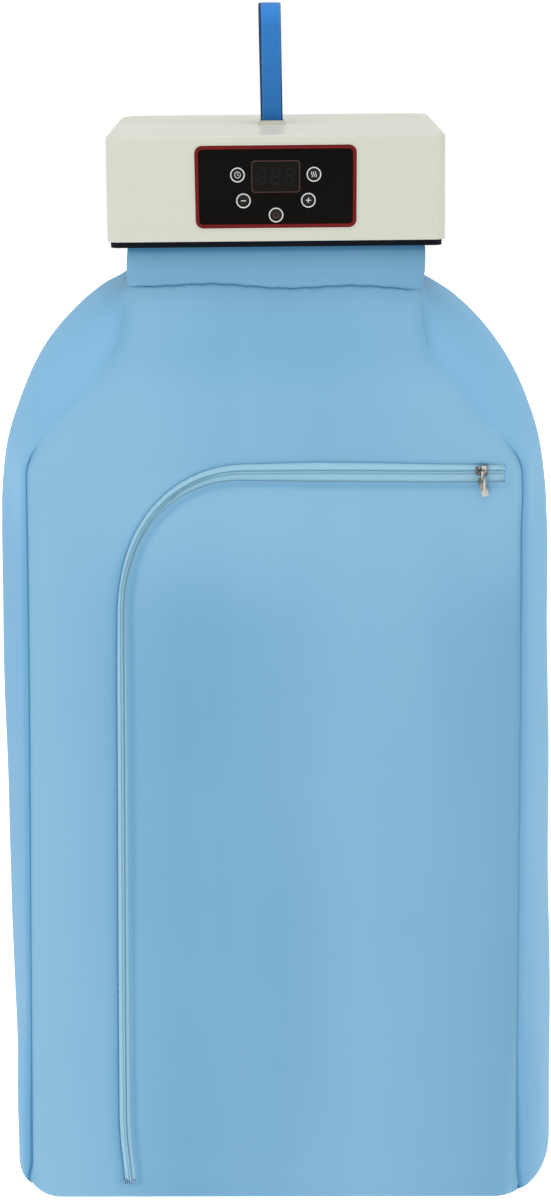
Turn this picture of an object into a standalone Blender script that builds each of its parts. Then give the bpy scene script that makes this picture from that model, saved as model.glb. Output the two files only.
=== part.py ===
# Portable clothes dryer: a heater head that hangs from a webbing loop, with a zipped fabric bag below it.
# Metres, +Z up, the front faces -Y. The origin is the inner top of the hanging loop, where a rail carries it.
import math

import bmesh
import bpy
import numpy as np
from mathutils import Matrix

# Clearances and cuts
GAP = 0.0003
OVERRUN = 0.004
FUSE = 0.0005
ROUND_SIDES = 24
SMALL_SIDES = 12
CORNER_STEPS = 5
FILLET_STEPS = 3

# Cover of the head
HEAD_WIDTH = 0.305
HEAD_DEPTH = 0.210
COVER_HEIGHT = 0.093
HEAD_CORNER = 0.010
HEAD_BACK_CORNER = 0.018
COVER_FILLET = 0.003
COVER_WALL = 0.0025
COVER_DRAFT = 0.0018
LIP_WIDTH = 0.001
LIP_PROUD = 0.0006

# Hanging loop, its bar and its collar
STRAP_RISE = 0.107
STRAP_OFFSET = -0.003
STRAP_WIDTH = 0.0205
STRAP_THICK = 0.0016
LOOP_RADIUS = 0.016
LOOP_STEPS = 13
LOOP_FOOT_STEPS = 9
BAR_RADIUS = 0.0015
BAR_RISE = 0.0019
BAR_SEAT = 0.004
COLLAR_WIDTH = 0.0255
COLLAR_DEPTH = 0.022
COLLAR_HEIGHT = 0.004
COLLAR_CORNER = 0.003
POCKET_DEPTH = 0.018
POCKET_DROP = 0.0045
POCKET_CORNER = 0.001
POCKET_WALL = 0.002

# Control panel on the front of the head
PANEL_WIDTH = 0.1435
PANEL_HEIGHT = 0.072
PANEL_DROP = 0.0090
PANEL_CORNER = 0.0065
TRIM_WIDTH = 0.003
TRIM_THICK = 0.001
TRIM_PROUD = 0.0004
FASCIA_THICK = 0.002
LEDGE_WIDTH = 0.0028
LEDGE_THICK = 0.0025
WINDOW_WIDTH = 0.044
WINDOW_HEIGHT = 0.029
WINDOW_DROP = 0.036
WINDOW_CORNER = 0.0025
KEY_RADIUS = 0.007
KEY_PROUD = 0.0004
KEY_FLANGE_RADIUS = 0.0078
KEY_FLANGE = 0.001
KEY_STEM_RADIUS = 0.002
KEY_STEM = 0.0045
KEY_TRAVEL = 0.0008
KEY_DISH = 0.0003
UPPER_KEY_SPREAD = 0.034
UPPER_KEY_DROP = 0.0345
LOWER_KEY_SPREAD = 0.029
LOWER_KEY_DROP = 0.0572
POWER_KEY_DROP = 0.0700

# Control board and display behind the panel
BOARD_THICK = 0.0016
BOARD_WIDTH = 0.120
BOARD_HEIGHT = 0.060
SWITCH_WIDTH = 0.006
SWITCH_HEIGHT = 0.003
POST_RADIUS = 0.0025
POST_INSET = 0.005

# Base tray
TRAY_BAND = 0.0055
TRAY_TONGUE = 0.006
TRAY_WALL = 0.002
TRAY_FLOOR = 0.003
SKIRT_DROP = 0.020
SKIRT_WALL = 0.0025

# Screws that hold the cover to the tray
SCREW_RADIUS = 0.0015
SCREW_HEAD_RADIUS = 0.0032
SCREW_HEAD_HEIGHT = 0.0018
SCREW_LENGTH = 0.014
BOSS_RADIUS = 0.0045
SCREW_INSET = 0.0075
SCREW_ROW = 0.062

# Air outlet and heater
OUTLET_WIDTH = 0.104
OUTLET_DEPTH = 0.092
OUTLET_CORNER = 0.004
OUTLET_FLANGE = 0.003
OUTLET_FLANGE_THICK = 0.0015
OUTLET_BARS = 9
OUTLET_BAR = 0.003
HEATER_WALL = 0.005
HEATER_HEIGHT = 0.024
CORE_HEIGHT = 0.016
CORE_FINS = 18
FIN_THICK = 0.0014
THERMOSTAT_RADIUS = 0.008
THERMOSTAT_HEIGHT = 0.006
THERMOSTAT_CAP_SHARE = 0.75

# Axial blower
DUCT_BORE = 0.059
DUCT_WALL = 0.002
DUCT_HEIGHT = 0.034
DUCT_FLANGE = 0.0025
SPIDER_THICK = 0.0025
SPIDER_ARM = 0.006
SPIDER_HUB = 0.026
IMPELLER_HUB = 0.022
IMPELLER_HEIGHT = 0.018
IMPELLER_TIP_GAP = 0.002
IMPELLER_DROP = 0.004
BLADES = 7
BLADE_THICK = 0.0016
BLADE_ROOT_PITCH = 42
BLADE_TIP_PITCH = 24
BLADE_SPAN_STEPS = 5
BLADE_CHORD_STEPS = 4
BLADE_CAMBER_SHARE = 0.08
BLADE_SWEEP_SHARE = 0.35
SHAFT_RADIUS = 0.0025
MOTOR_RADIUS = 0.023
MOTOR_HEIGHT = 0.022
MOTOR_FILLET = 0.003
SHAFT_DEPTH = 0.014

# Mains side: power board and inlet
MAINS_WALL_SPACE = 0.017
MAINS_HEATER_SPACE = 0.0167
POWER_BOARD_DEPTH = 0.120
POWER_BOARD_RISE = 0.006
RELAY_SIZE = 0.016
CAPACITOR_RADIUS = 0.007
CAPACITOR_HEIGHT = 0.024
INLET_DROP = 0.050
INLET_WIDTH = 0.027
INLET_HEIGHT = 0.0196
INLET_RECESS_WIDTH = 0.0240
INLET_RECESS_HEIGHT = 0.0164
INLET_RECESS_DEPTH = 0.017
INLET_BODY_DEPTH = 0.021
INLET_CHAMFER = 0.005
INLET_FLANGE = 0.0025
INLET_FLANGE_REACH = 0.002
PIN_HEIGHT = 0.004
PIN_THICK = 0.002
PIN_LENGTH = 0.0145
PIN_SPREAD = 0.007
PIN_OFFSET = 0.002

# Air inlet at the back of the head
GRILLE_X = -0.030
GRILLE_WIDTH = 0.140
GRILLE_HEIGHT = 0.054
GRILLE_DROP = 0.047
GRILLE_CORNER = 0.006
GRILLE_FLANGE = 0.003
GRILLE_FLANGE_THICK = 0.0015
GRILLE_SLOTS = 9
GRILLE_BAR = 0.0028
GRILLE_RIBS = 3
GRILLE_RIB = 0.003
FILTER_THICK = 0.004

# Bail that the clothes hangers hook on, under the tray
BAIL_RADIUS = 0.0025
BAIL_SPREAD = 0.057
BAIL_DROP = 0.048
BAIL_BEND = 0.009
BAIL_AXIS_DROP = 0.0135
LUG_WIDTH = 0.014
LUG_THICK = 0.007
LUG_ARC_STEPS = 9
BAIL_PIN_END = 0.002

# Bag: neck, panels and base
CLOTH = 0.0012
NECK_INSET_X = 0.0175
NECK_INSET_Y = 0.015
NECK_CORNER = 0.004
NECK_DROP = 0.0365
HOOK_TAPE = 0.0015
HOOK_TAPE_HEIGHT = 0.015
BAG_DEPTH = 0.282
BAG_DROP = 0.954
ARCH_RADIUS = 0.271
ARCH_DROP = 0.231
SIDE_FLARE = 0.026
CREASE_DROP = 0.161
CREASE_SHOULDER = 0.227
CREASE_FOOT = 0.255
FRONT_DROP = 0.150
SHOULDER_POWER_SHARE = 1.3
SHOULDER_SLOPE_SHARE = 3.0
ARCH_ROWS = 11
SIDE_ROWS = 3
GUSSET_COLUMNS = 10

# Zip and the flap that it closes
ZIP_DROP = 0.163
ZIP_RIGHT = 0.210
ZIP_BEND_X = -0.035
ZIP_BEND_WIDTH = 0.109
ZIP_BEND_HEIGHT = 0.140
ZIP_BEND_POWER = 2.25
ZIP_LEAN = 0.011
ZIP_FOOT_RISE = 0.020
ZIP_TURN_STEPS = 10
ZIP_SPLIT = 0.0012
TAPE_WIDTH = 0.0070
COIL_WIDTH = 0.0024
COIL_THICK = 0.0015
ZIP_END_BRIDGE = 0.004
FOLD_TOP = 0.172
COIL_FOLD_GAP = 0.007
STOP_WIDTH = 0.013
STOP_HEIGHT = 0.010
STOP_THICK = 0.001

# Zip slider, link and pull
SLIDER_X = 0.186
SLIDER_LENGTH = 0.011
SLIDER_MOUTH = 0.0095
SLIDER_TAIL = 0.0070
SLIDER_PLATE = 0.001
SLIDER_POST = 0.0006
SLIDER_POST_LENGTH = 0.004
CROWN_LENGTH = 0.0062
CROWN_FOOT = 0.0012
CROWN_BAR = 0.0010
CROWN_OPEN = 0.0022
LINK_RADIUS = 0.0006
LINK_BEND = 0.0015
LINK_LENGTH = 0.0065
LINK_TURN_STEPS = 5
PULL_WIDTH = 0.006
PULL_LENGTH = 0.018
PULL_THICK = 0.0011
PULL_EYE = 0.0010
PULL_TOP = 0.0023
PULL_CORNER = 0.0018
PULL_LEAN = 15

# Heights and depths that follow from the sizes above
HEAD_TOP = -STRAP_RISE
COVER_FOOT = HEAD_TOP - COVER_HEIGHT
TRAY_FOOT = COVER_FOOT - TRAY_BAND
FLOOR_TOP = TRAY_FOOT + TRAY_FLOOR
HEAD_FRONT = -HEAD_DEPTH / 2
HEAD_BACK = HEAD_DEPTH / 2
BAR_Z = HEAD_TOP + BAR_RISE
SEAM_Z = TRAY_FOOT - NECK_DROP
BAG_FOOT = SEAM_Z - BAG_DROP
BAG_FRONT = -BAG_DEPTH / 2
PANEL_Z = HEAD_TOP - PANEL_DROP - PANEL_HEIGHT / 2
TRIM_BACK = HEAD_FRONT - TRIM_PROUD + TRIM_THICK
FASCIA_FRONT = TRIM_BACK + GAP
FASCIA_BACK = FASCIA_FRONT + FASCIA_THICK
LEDGE_FRONT = FASCIA_BACK + GAP
KEY_FLANGE_FRONT = FASCIA_BACK + GAP
KEY_BACK = KEY_FLANGE_FRONT + KEY_FLANGE + KEY_STEM
SWITCH_FRONT = KEY_BACK + KEY_TRAVEL + GAP
BOARD_FRONT = SWITCH_FRONT + SWITCH_HEIGHT
HEATER_WIDTH = OUTLET_WIDTH + 2 * (OUTLET_FLANGE + GAP + HEATER_WALL)
HEATER_DEPTH = OUTLET_DEPTH + 2 * (OUTLET_FLANGE + GAP + HEATER_WALL)
HEATER_TOP = FLOOR_TOP + GAP + HEATER_HEIGHT
MAINS_RIGHT = HEAD_WIDTH / 2 - COVER_WALL - MAINS_WALL_SPACE
MAINS_LEFT = HEATER_WIDTH / 2 + MAINS_HEATER_SPACE
MAINS_X = (MAINS_LEFT + MAINS_RIGHT) / 2
POWER_BOARD_WIDTH = MAINS_RIGHT - MAINS_LEFT
DUCT_FOOT = HEATER_TOP + GAP
DUCT_TOP = DUCT_FOOT + DUCT_HEIGHT
MOTOR_FOOT = DUCT_TOP + GAP
SHAFT_BORE = SHAFT_RADIUS + GAP
IMPELLER_TOP = DUCT_TOP - SPIDER_THICK - IMPELLER_DROP
IMPELLER_FOOT = IMPELLER_TOP - IMPELLER_HEIGHT
TAPE_EDGE = ZIP_SPLIT / 2 + TAPE_WIDTH
COIL_EDGE = ZIP_SPLIT / 2 + COIL_WIDTH
COIL_FRONT = BAG_FRONT - GAP - COIL_THICK
ZIP_Z = SEAM_Z - ZIP_DROP
ZIP_LEFT = ZIP_BEND_X - ZIP_BEND_WIDTH
ZIP_FOOT = (ZIP_LEFT - ZIP_LEAN, BAG_FOOT + ZIP_FOOT_RISE)
SLIDER_FRONT = COIL_FRONT - GAP - SLIDER_PLATE
CROWN_Y = SLIDER_FRONT - CROWN_OPEN - CROWN_BAR / 2
BAIL_AXIS_Z = TRAY_FOOT - BAIL_AXIS_DROP
LUG_Y = BAIL_SPREAD + BAIL_RADIUS + GAP + LUG_THICK / 2
BOSS_X = HEAD_WIDTH / 2 - COVER_WALL - SCREW_INSET
INLET_Z = HEAD_TOP - INLET_DROP
GRILLE_Z = HEAD_TOP - GRILLE_DROP
NECK_WIDTH = HEAD_WIDTH - 2 * NECK_INSET_X
NECK_DEPTH = HEAD_DEPTH - 2 * NECK_INSET_Y
SKIRT_INSET = CLOTH + HOOK_TAPE + 2 * GAP
SKIRT_WIDTH = NECK_WIDTH - 2 * SKIRT_INSET
SKIRT_DEPTH = NECK_DEPTH - 2 * SKIRT_INSET

for old in list(bpy.data.objects):
    bpy.data.objects.remove(old, do_unlink=True)


# Materials


def finish(name, color, roughness, metallic=0.0):
    """One Principled material."""
    made = bpy.data.materials.new(name)
    made.use_nodes = True
    shader = made.node_tree.nodes["Principled BSDF"]
    shader.inputs["Base Color"].default_value = (*color, 1.0)
    shader.inputs["Roughness"].default_value = roughness
    shader.inputs["Metallic"].default_value = metallic
    return made


CREAM = finish("cream_plastic", (0.69, 0.69, 0.60), 0.45)
BLACK = finish("black_plastic", (0.02, 0.022, 0.025), 0.5)
GLOSS = finish("gloss_black", (0.012, 0.010, 0.009), 0.08)
RED = finish("dark_red", (0.12, 0.015, 0.02), 0.25)
KEY = finish("key_plastic", (0.03, 0.03, 0.03), 0.3)
SMOKE = finish("smoked_lens", (0.02, 0.02, 0.02), 0.05)
BOARD = finish("circuit_board", (0.02, 0.12, 0.05), 0.5)
GREY = finish("grey_plastic", (0.2, 0.2, 0.2), 0.5)
NYLON = finish("white_nylon", (0.75, 0.75, 0.73), 0.5)
STEEL = finish("steel", (0.55, 0.55, 0.56), 0.3, 1.0)
ZIP_METAL = finish("bright_zip_metal", (0.7, 0.7, 0.71), 0.15, 1.0)
ALLOY = finish("aluminium", (0.75, 0.75, 0.77), 0.35, 1.0)
FOAM = finish("filter_foam", (0.05, 0.05, 0.055), 0.95)
HOOKS = finish("hook_tape", (0.03, 0.03, 0.035), 0.9)
BLUE = finish("light_blue_cloth", (0.28, 0.52, 0.66), 0.8)
PALE = finish("pale_blue_tape", (0.45, 0.68, 0.78), 0.75)
TEAL = finish("dark_teal_coil", (0.03, 0.12, 0.16), 0.5)
WEBBING = finish("blue_webbing", (0.03, 0.15, 0.42), 0.75)


# Solids


def add_object(name, bm, material):
    """The mesh of bm as a named object with its faces turned outwards."""
    bmesh.ops.recalc_face_normals(bm, faces=bm.faces)
    mesh = bpy.data.meshes.new(name)
    bm.to_mesh(mesh)
    bm.free()
    made = bpy.data.objects.new(name, mesh)
    bpy.context.scene.collection.objects.link(made)
    mesh.materials.append(material)
    mesh.shade_smooth()
    mesh.set_sharp_from_angle(angle=math.radians(35))
    return made


def rounded(width, height, radius, center=(0, 0), far_radius=None):
    """Outline of a rectangle with round corners, anticlockwise; its upper two may have their own radius."""
    points = []
    near_radius = radius
    for turn, (sx, sy) in enumerate(((1, 1), (-1, 1), (-1, -1), (1, -1))):
        radius = far_radius if far_radius and sy > 0 else near_radius
        for step in range(CORNER_STEPS + 1):
            angle = math.pi / 2 * (turn + step / CORNER_STEPS)
            x = sx * (width / 2 - radius) + radius * math.cos(angle)
            y = sy * (height / 2 - radius) + radius * math.sin(angle)
            points.append((center[0] + x, center[1] + y))
    return points


def rectangle(width, height, center=(0, 0)):
    """Outline of a plain rectangle, anticlockwise."""
    corners = ((1, 1), (-1, 1), (-1, -1), (1, -1))
    return [(center[0] + sx * width / 2, center[1] + sy * height / 2) for sx, sy in corners]


def circle(radius, center=(0, 0), sides=ROUND_SIDES):
    """Outline of a circle, anticlockwise."""
    turns = [2 * math.pi * i / sides for i in range(sides)]
    return [(center[0] + radius * math.cos(a), center[1] + radius * math.sin(a)) for a in turns]


def place(u, v, height, axis):
    """Point of an outline (u, v) at a height along an axis: Z takes (x, y), Y (x, z) and X (y, z)."""
    return {"Z": (u, v, height), "Y": (u, height, v), "X": (height, u, v)}[axis]


def prism(name, outline, low, high, material, axis="Z"):
    """Outline extruded from low to high along an axis."""
    bm = bmesh.new()
    base = bm.faces.new([bm.verts.new(place(u, v, low, axis)) for u, v in outline])
    grown = bmesh.ops.extrude_face_region(bm, geom=[base])
    moved = [item for item in grown["geom"] if isinstance(item, bmesh.types.BMVert)]
    bmesh.ops.translate(bm, verts=moved, vec=place(0, 0, high - low, axis))
    return add_object(name, bm, material)


def box(name, size, center, material):
    """Plain box."""
    outline = rectangle(size[0], size[1], center[:2])
    return prism(name, outline, center[2] - size[2] / 2, center[2] + size[2] / 2, material)


def turned(name, profile, center, material, axis="Z", sides=ROUND_SIDES):
    """Profile of (radius, height) pairs turned about an axis through center."""
    bm = bmesh.new()
    edges = []
    verts = [bm.verts.new((radius, 0, height)) for radius, height in profile]
    for first, second in zip(verts, verts[1:]):
        edges.append(bm.edges.new((first, second)))
    bmesh.ops.spin(bm, geom=verts + edges, cent=(0, 0, 0), axis=(0, 0, 1),
                   angle=2 * math.pi, steps=sides, use_merge=True)
    bmesh.ops.remove_doubles(bm, verts=bm.verts, dist=GAP / 100)
    if axis == "Y":
        bmesh.ops.rotate(bm, verts=bm.verts, matrix=Matrix.Rotation(math.pi / 2, 3, "X"))
    if axis == "X":
        bmesh.ops.rotate(bm, verts=bm.verts, matrix=Matrix.Rotation(math.pi / 2, 3, "Y"))
    bmesh.ops.translate(bm, verts=bm.verts, vec=center)
    return add_object(name, bm, material)


def shell(name, outer, inner, material):
    """Closed sheet between two grids of points (rows, columns, 3)."""
    rows, columns = outer.shape[:2]
    bm = bmesh.new()
    front = [[bm.verts.new(p) for p in row] for row in outer]
    back = [[bm.verts.new(p) for p in row] for row in inner]
    for i in range(rows - 1):
        for j in range(columns - 1):
            for side in (front, back):
                bm.faces.new((side[i][j], side[i + 1][j], side[i + 1][j + 1], side[i][j + 1]))
    for i in range(rows - 1):
        for j in (0, columns - 1):
            bm.faces.new((front[i][j], front[i + 1][j], back[i + 1][j], back[i][j]))
    for j in range(columns - 1):
        for i in (0, rows - 1):
            bm.faces.new((front[i][j], front[i][j + 1], back[i][j + 1], back[i][j]))
    return add_object(name, bm, material)


def combine(target, tool, operation):
    """Boolean of target with tool, which is used up."""
    change = target.modifiers.new(operation, "BOOLEAN")
    change.operation = operation
    change.solver = "EXACT"
    change.object = tool
    evaluated = target.evaluated_get(bpy.context.evaluated_depsgraph_get())
    result = bpy.data.meshes.new_from_object(evaluated)
    target.modifiers.clear()
    old = target.data
    target.data = result
    bpy.data.meshes.remove(old)
    bpy.data.objects.remove(tool, do_unlink=True)
    result.shade_smooth()
    result.set_sharp_from_angle(angle=math.radians(35))


def cut(target, tool):
    """Take tool out of target."""
    combine(target, tool, "DIFFERENCE")


def join(target, tool):
    """Fuse tool to target."""
    combine(target, tool, "UNION")


def rounded_path(corners, radius, steps):
    """Path through corners with each inner one rounded by an arc that meets its two runs."""
    points = [np.array(corners[0])]
    for before, corner, after in zip(corners, corners[1:], corners[2:]):
        corner = np.array(corner)
        into = (corner - before) / np.linalg.norm(corner - before)
        out = (after - corner) / np.linalg.norm(after - corner)
        half = math.acos(max(-1.0, min(1.0, float(into @ out)))) / 2
        reach = radius * math.tan(half)
        center = corner + (out - into) / np.linalg.norm(out - into) * radius / math.cos(half)
        start = corner - into * reach - center
        for step in range(steps + 1):
            angle = 2 * half * step / steps
            points.append(center + start * math.cos(angle) + into * radius * math.sin(angle))
    points.append(np.array(corners[-1]))
    return points


def wire(name, points, radius, material, cyclic=False):
    """Round wire along a path."""
    curve = bpy.data.curves.new(name, "CURVE")
    curve.dimensions = "3D"
    curve.bevel_depth = radius
    curve.bevel_resolution = 2
    curve.render_resolution_u = 0
    curve.use_fill_caps = not cyclic
    spline = curve.splines.new("POLY")
    spline.points.add(len(points) - 1)
    for spot, point in zip(spline.points, points):
        spot.co = (*point, 1.0)
    spline.use_cyclic_u = cyclic
    curve.materials.append(material)
    made = bpy.data.objects.new(name, curve)
    bpy.context.scene.collection.objects.link(made)
    return made


# Head: cover, collar and openings


def soften_top(cover):
    """Round the cover's edge all round its top."""
    bm = bmesh.new()
    bm.from_mesh(cover.data)
    edges = [e for e in bm.edges if all(abs(v.co.z - HEAD_TOP) < GAP for v in e.verts)]
    bmesh.ops.bevel(bm, geom=edges, offset=COVER_FILLET, segments=FILLET_STEPS, profile=0.5, affect="EDGES")
    bm.to_mesh(cover.data)
    bm.free()


def lean_ends(target):
    """Lean the head's two ends in towards the top, as the mould's draft does; front and back stay upright."""
    for vert in target.data.vertices:
        share = (vert.co.z - COVER_FOOT) / COVER_HEIGHT
        vert.co.x -= math.copysign(COVER_DRAFT * share, vert.co.x)


def head_outline(inset):
    """Plan of the head drawn in by inset."""
    return rounded(HEAD_WIDTH - 2 * inset, HEAD_DEPTH - 2 * inset, HEAD_CORNER - inset,
                   far_radius=HEAD_BACK_CORNER - inset)


def make_cover():
    """Moulded cover, open below, with the collar on top and openings front and back."""
    cover = prism("top_cover", head_outline(0), COVER_FOOT, HEAD_TOP, CREAM)
    soften_top(cover)
    lean_ends(cover)
    hollow = prism("hollow", head_outline(COVER_WALL), COVER_FOOT - OVERRUN, HEAD_TOP - COVER_WALL, CREAM)
    lean_ends(hollow)
    cut(cover, hollow)
    ledge_back = LEDGE_FRONT + LEDGE_THICK
    frame = rounded(PANEL_WIDTH + 2 * COVER_WALL, PANEL_HEIGHT + 2 * COVER_WALL, PANEL_CORNER, (0, PANEL_Z))
    join(cover, prism("frame", frame, HEAD_FRONT + COVER_WALL - FUSE, ledge_back, CREAM, "Y"))
    lip_outline = rounded(PANEL_WIDTH + 2 * (GAP + LIP_WIDTH), PANEL_HEIGHT + 2 * (GAP + LIP_WIDTH),
                          PANEL_CORNER + GAP + LIP_WIDTH, (0, PANEL_Z))
    join(cover, prism("lip", lip_outline, HEAD_FRONT - LIP_PROUD, HEAD_FRONT + FUSE, CREAM, "Y"))
    seat = rounded(PANEL_WIDTH + 2 * GAP, PANEL_HEIGHT + 2 * GAP, PANEL_CORNER + GAP, (0, PANEL_Z))
    cut(cover, prism("seat", seat, HEAD_FRONT - OVERRUN, LEDGE_FRONT, CREAM, "Y"))
    mouth = rounded(PANEL_WIDTH - 2 * LEDGE_WIDTH, PANEL_HEIGHT - 2 * LEDGE_WIDTH,
                    PANEL_CORNER - LEDGE_WIDTH, (0, PANEL_Z))
    cut(cover, prism("mouth", mouth, LEDGE_FRONT - FUSE, ledge_back + OVERRUN, CREAM, "Y"))
    center = (STRAP_OFFSET, 0)
    collar = rounded(COLLAR_WIDTH, COLLAR_DEPTH, COLLAR_CORNER, center)
    collar_foot = HEAD_TOP - POCKET_DROP - POCKET_WALL
    join(cover, prism("collar", collar, collar_foot, HEAD_TOP + COLLAR_HEIGHT, CREAM))
    pocket = rounded(STRAP_WIDTH + 2 * GAP, POCKET_DEPTH, POCKET_CORNER, center)
    cut(cover, prism("pocket", pocket, HEAD_TOP - POCKET_DROP, HEAD_TOP + COLLAR_HEIGHT + OVERRUN, CREAM))
    bar_reach = STRAP_WIDTH / 2 + GAP + BAR_SEAT / 2
    cut(cover, prism("bar_bore", circle(BAR_RADIUS + GAP, (0, BAR_Z), SMALL_SIDES),
                     STRAP_OFFSET - bar_reach, STRAP_OFFSET + bar_reach, CREAM, "X"))
    for sx in (-1, 1):
        for sy in (-1, 1):
            spot = (sx * BOSS_X, sy * SCREW_ROW)
            join(cover, prism("boss", circle(BOSS_RADIUS, spot, SMALL_SIDES), FLOOR_TOP + GAP,
                              HEAD_TOP - COVER_WALL + FUSE, CREAM))
            cut(cover, prism("thread", circle(SCREW_RADIUS + GAP, spot, SMALL_SIDES), FLOOR_TOP - OVERRUN,
                             TRAY_FOOT + SCREW_LENGTH + OVERRUN, CREAM))
    vent = rounded(GRILLE_WIDTH + 2 * GAP, GRILLE_HEIGHT + 2 * GAP, GRILLE_CORNER, (GRILLE_X, GRILLE_Z))
    cut(cover, prism("vent", vent, HEAD_BACK - COVER_WALL - OVERRUN, HEAD_BACK + OVERRUN, CREAM, "Y"))
    socket = rectangle(INLET_WIDTH + 2 * GAP, INLET_HEIGHT + 2 * GAP, (MAINS_X, INLET_Z))
    cut(cover, prism("socket", socket, HEAD_BACK - COVER_WALL - OVERRUN, HEAD_BACK + OVERRUN, CREAM, "Y"))
    return cover


def make_hanging():
    """Steel bar in the collar and the webbing loop round it, a teardrop with its round end at the top."""
    reach = STRAP_WIDTH / 2 + BAR_SEAT / 2
    prism("strap_bar", circle(BAR_RADIUS, (0, BAR_Z), SMALL_SIDES),
          STRAP_OFFSET - reach, STRAP_OFFSET + reach, STEEL, "X")
    top_z = -LOOP_RADIUS
    span = top_z - BAR_Z
    foot_radius = BAR_RADIUS + GAP
    lean = math.asin((LOOP_RADIUS - foot_radius) / span)

    def teardrop(extra):
        upper = np.linspace(-lean, math.pi + lean, LOOP_STEPS)
        lower = np.linspace(math.pi + lean, 2 * math.pi - lean, LOOP_FOOT_STEPS)
        large, small = LOOP_RADIUS + extra, foot_radius + extra
        top = [(large * math.cos(a), top_z + large * math.sin(a)) for a in upper]
        foot = [(small * math.cos(a), BAR_Z + small * math.sin(a)) for a in lower]
        return top + foot

    strap = prism("hanging_strap", teardrop(STRAP_THICK), STRAP_OFFSET - STRAP_WIDTH / 2,
                  STRAP_OFFSET + STRAP_WIDTH / 2, WEBBING, "X")
    cut(strap, prism("loop_hole", teardrop(0), STRAP_OFFSET - STRAP_WIDTH / 2 - OVERRUN,
                     STRAP_OFFSET + STRAP_WIDTH / 2 + OVERRUN, WEBBING, "X"))


# Control panel


def key_places():
    """Each key's node name and its place on the panel."""
    upper, lower = HEAD_TOP - UPPER_KEY_DROP, HEAD_TOP - LOWER_KEY_DROP
    return {
        "key_timer": (-UPPER_KEY_SPREAD, upper),
        "key_heat": (UPPER_KEY_SPREAD, upper),
        "key_minus": (-LOWER_KEY_SPREAD, lower),
        "key_plus": (LOWER_KEY_SPREAD, lower),
        "key_power": (0, HEAD_TOP - POWER_KEY_DROP),
    }


def make_keys():
    """Round caps with a shallow dish, a retaining flange behind the fascia and a stem to the switch."""
    front = FASCIA_FRONT - KEY_PROUD
    for name, (x, z) in key_places().items():
        profile = [(0, KEY_BACK - front), (KEY_STEM_RADIUS, KEY_BACK - front),
                   (KEY_STEM_RADIUS, KEY_FLANGE_FRONT + KEY_FLANGE - front),
                   (KEY_FLANGE_RADIUS, KEY_FLANGE_FRONT + KEY_FLANGE - front),
                   (KEY_FLANGE_RADIUS, KEY_FLANGE_FRONT - front), (KEY_RADIUS, KEY_FLANGE_FRONT - front),
                   (KEY_RADIUS, KEY_DISH), (KEY_RADIUS - KEY_DISH, 0),
                   (KEY_RADIUS / 2, KEY_DISH), (0, KEY_DISH)]
        flipped = [(radius, -height) for radius, height in profile]
        turned(name, flipped, (x, front, z), KEY, "Y")


def make_panel():
    """Gloss fascia with its window and key holes, the red trim round it, the display and the board."""
    middle = (0, PANEL_Z)
    fascia = prism("control_fascia", rounded(PANEL_WIDTH, PANEL_HEIGHT, PANEL_CORNER, middle),
                   FASCIA_FRONT, FASCIA_BACK, GLOSS, "Y")
    window_z = HEAD_TOP - WINDOW_DROP
    opening = rounded(WINDOW_WIDTH + 2 * GAP, WINDOW_HEIGHT + 2 * GAP, WINDOW_CORNER + GAP, (0, window_z))
    cut(fascia, prism("opening", opening, FASCIA_FRONT - OVERRUN, FASCIA_BACK + OVERRUN, GLOSS, "Y"))
    for sx in (-1, 1):
        for sz in (-1, 1):
            spot = (sx * (BOARD_WIDTH / 2 - POST_INSET), PANEL_Z + sz * (BOARD_HEIGHT / 2 - POST_INSET))
            join(fascia, prism("post", circle(POST_RADIUS, spot, SMALL_SIDES), FASCIA_BACK - FUSE,
                               BOARD_FRONT - GAP, GLOSS, "Y"))
    for x, z in key_places().values():
        cut(fascia, prism("hole", circle(KEY_RADIUS + GAP, (x, z)), FASCIA_FRONT - OVERRUN,
                          FASCIA_BACK + OVERRUN, GLOSS, "Y"))
    trim = prism("fascia_trim", rounded(PANEL_WIDTH, PANEL_HEIGHT, PANEL_CORNER, middle),
                 HEAD_FRONT - TRIM_PROUD, TRIM_BACK, RED, "Y")
    inner = rounded(PANEL_WIDTH - 2 * TRIM_WIDTH, PANEL_HEIGHT - 2 * TRIM_WIDTH,
                    PANEL_CORNER - TRIM_WIDTH, middle)
    cut(trim, prism("inner", inner, HEAD_FRONT - OVERRUN, TRIM_BACK + OVERRUN, RED, "Y"))
    prism("display_window", rounded(WINDOW_WIDTH, WINDOW_HEIGHT, WINDOW_CORNER, (0, window_z)),
          FASCIA_FRONT, FASCIA_BACK, SMOKE, "Y")
    prism("display_module", rectangle(WINDOW_WIDTH, WINDOW_HEIGHT, (0, window_z)),
          FASCIA_BACK + GAP, BOARD_FRONT - GAP, BLACK, "Y")
    board = prism("control_board", rectangle(BOARD_WIDTH, BOARD_HEIGHT, middle), BOARD_FRONT,
                  BOARD_FRONT + BOARD_THICK, BOARD, "Y")
    for x, z in key_places().values():
        join(board, prism("switch", rectangle(SWITCH_WIDTH, SWITCH_WIDTH, (x, z)), SWITCH_FRONT,
                          BOARD_FRONT + FUSE, BOARD, "Y"))
    make_keys()


# Base tray, screws and outlet


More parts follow.
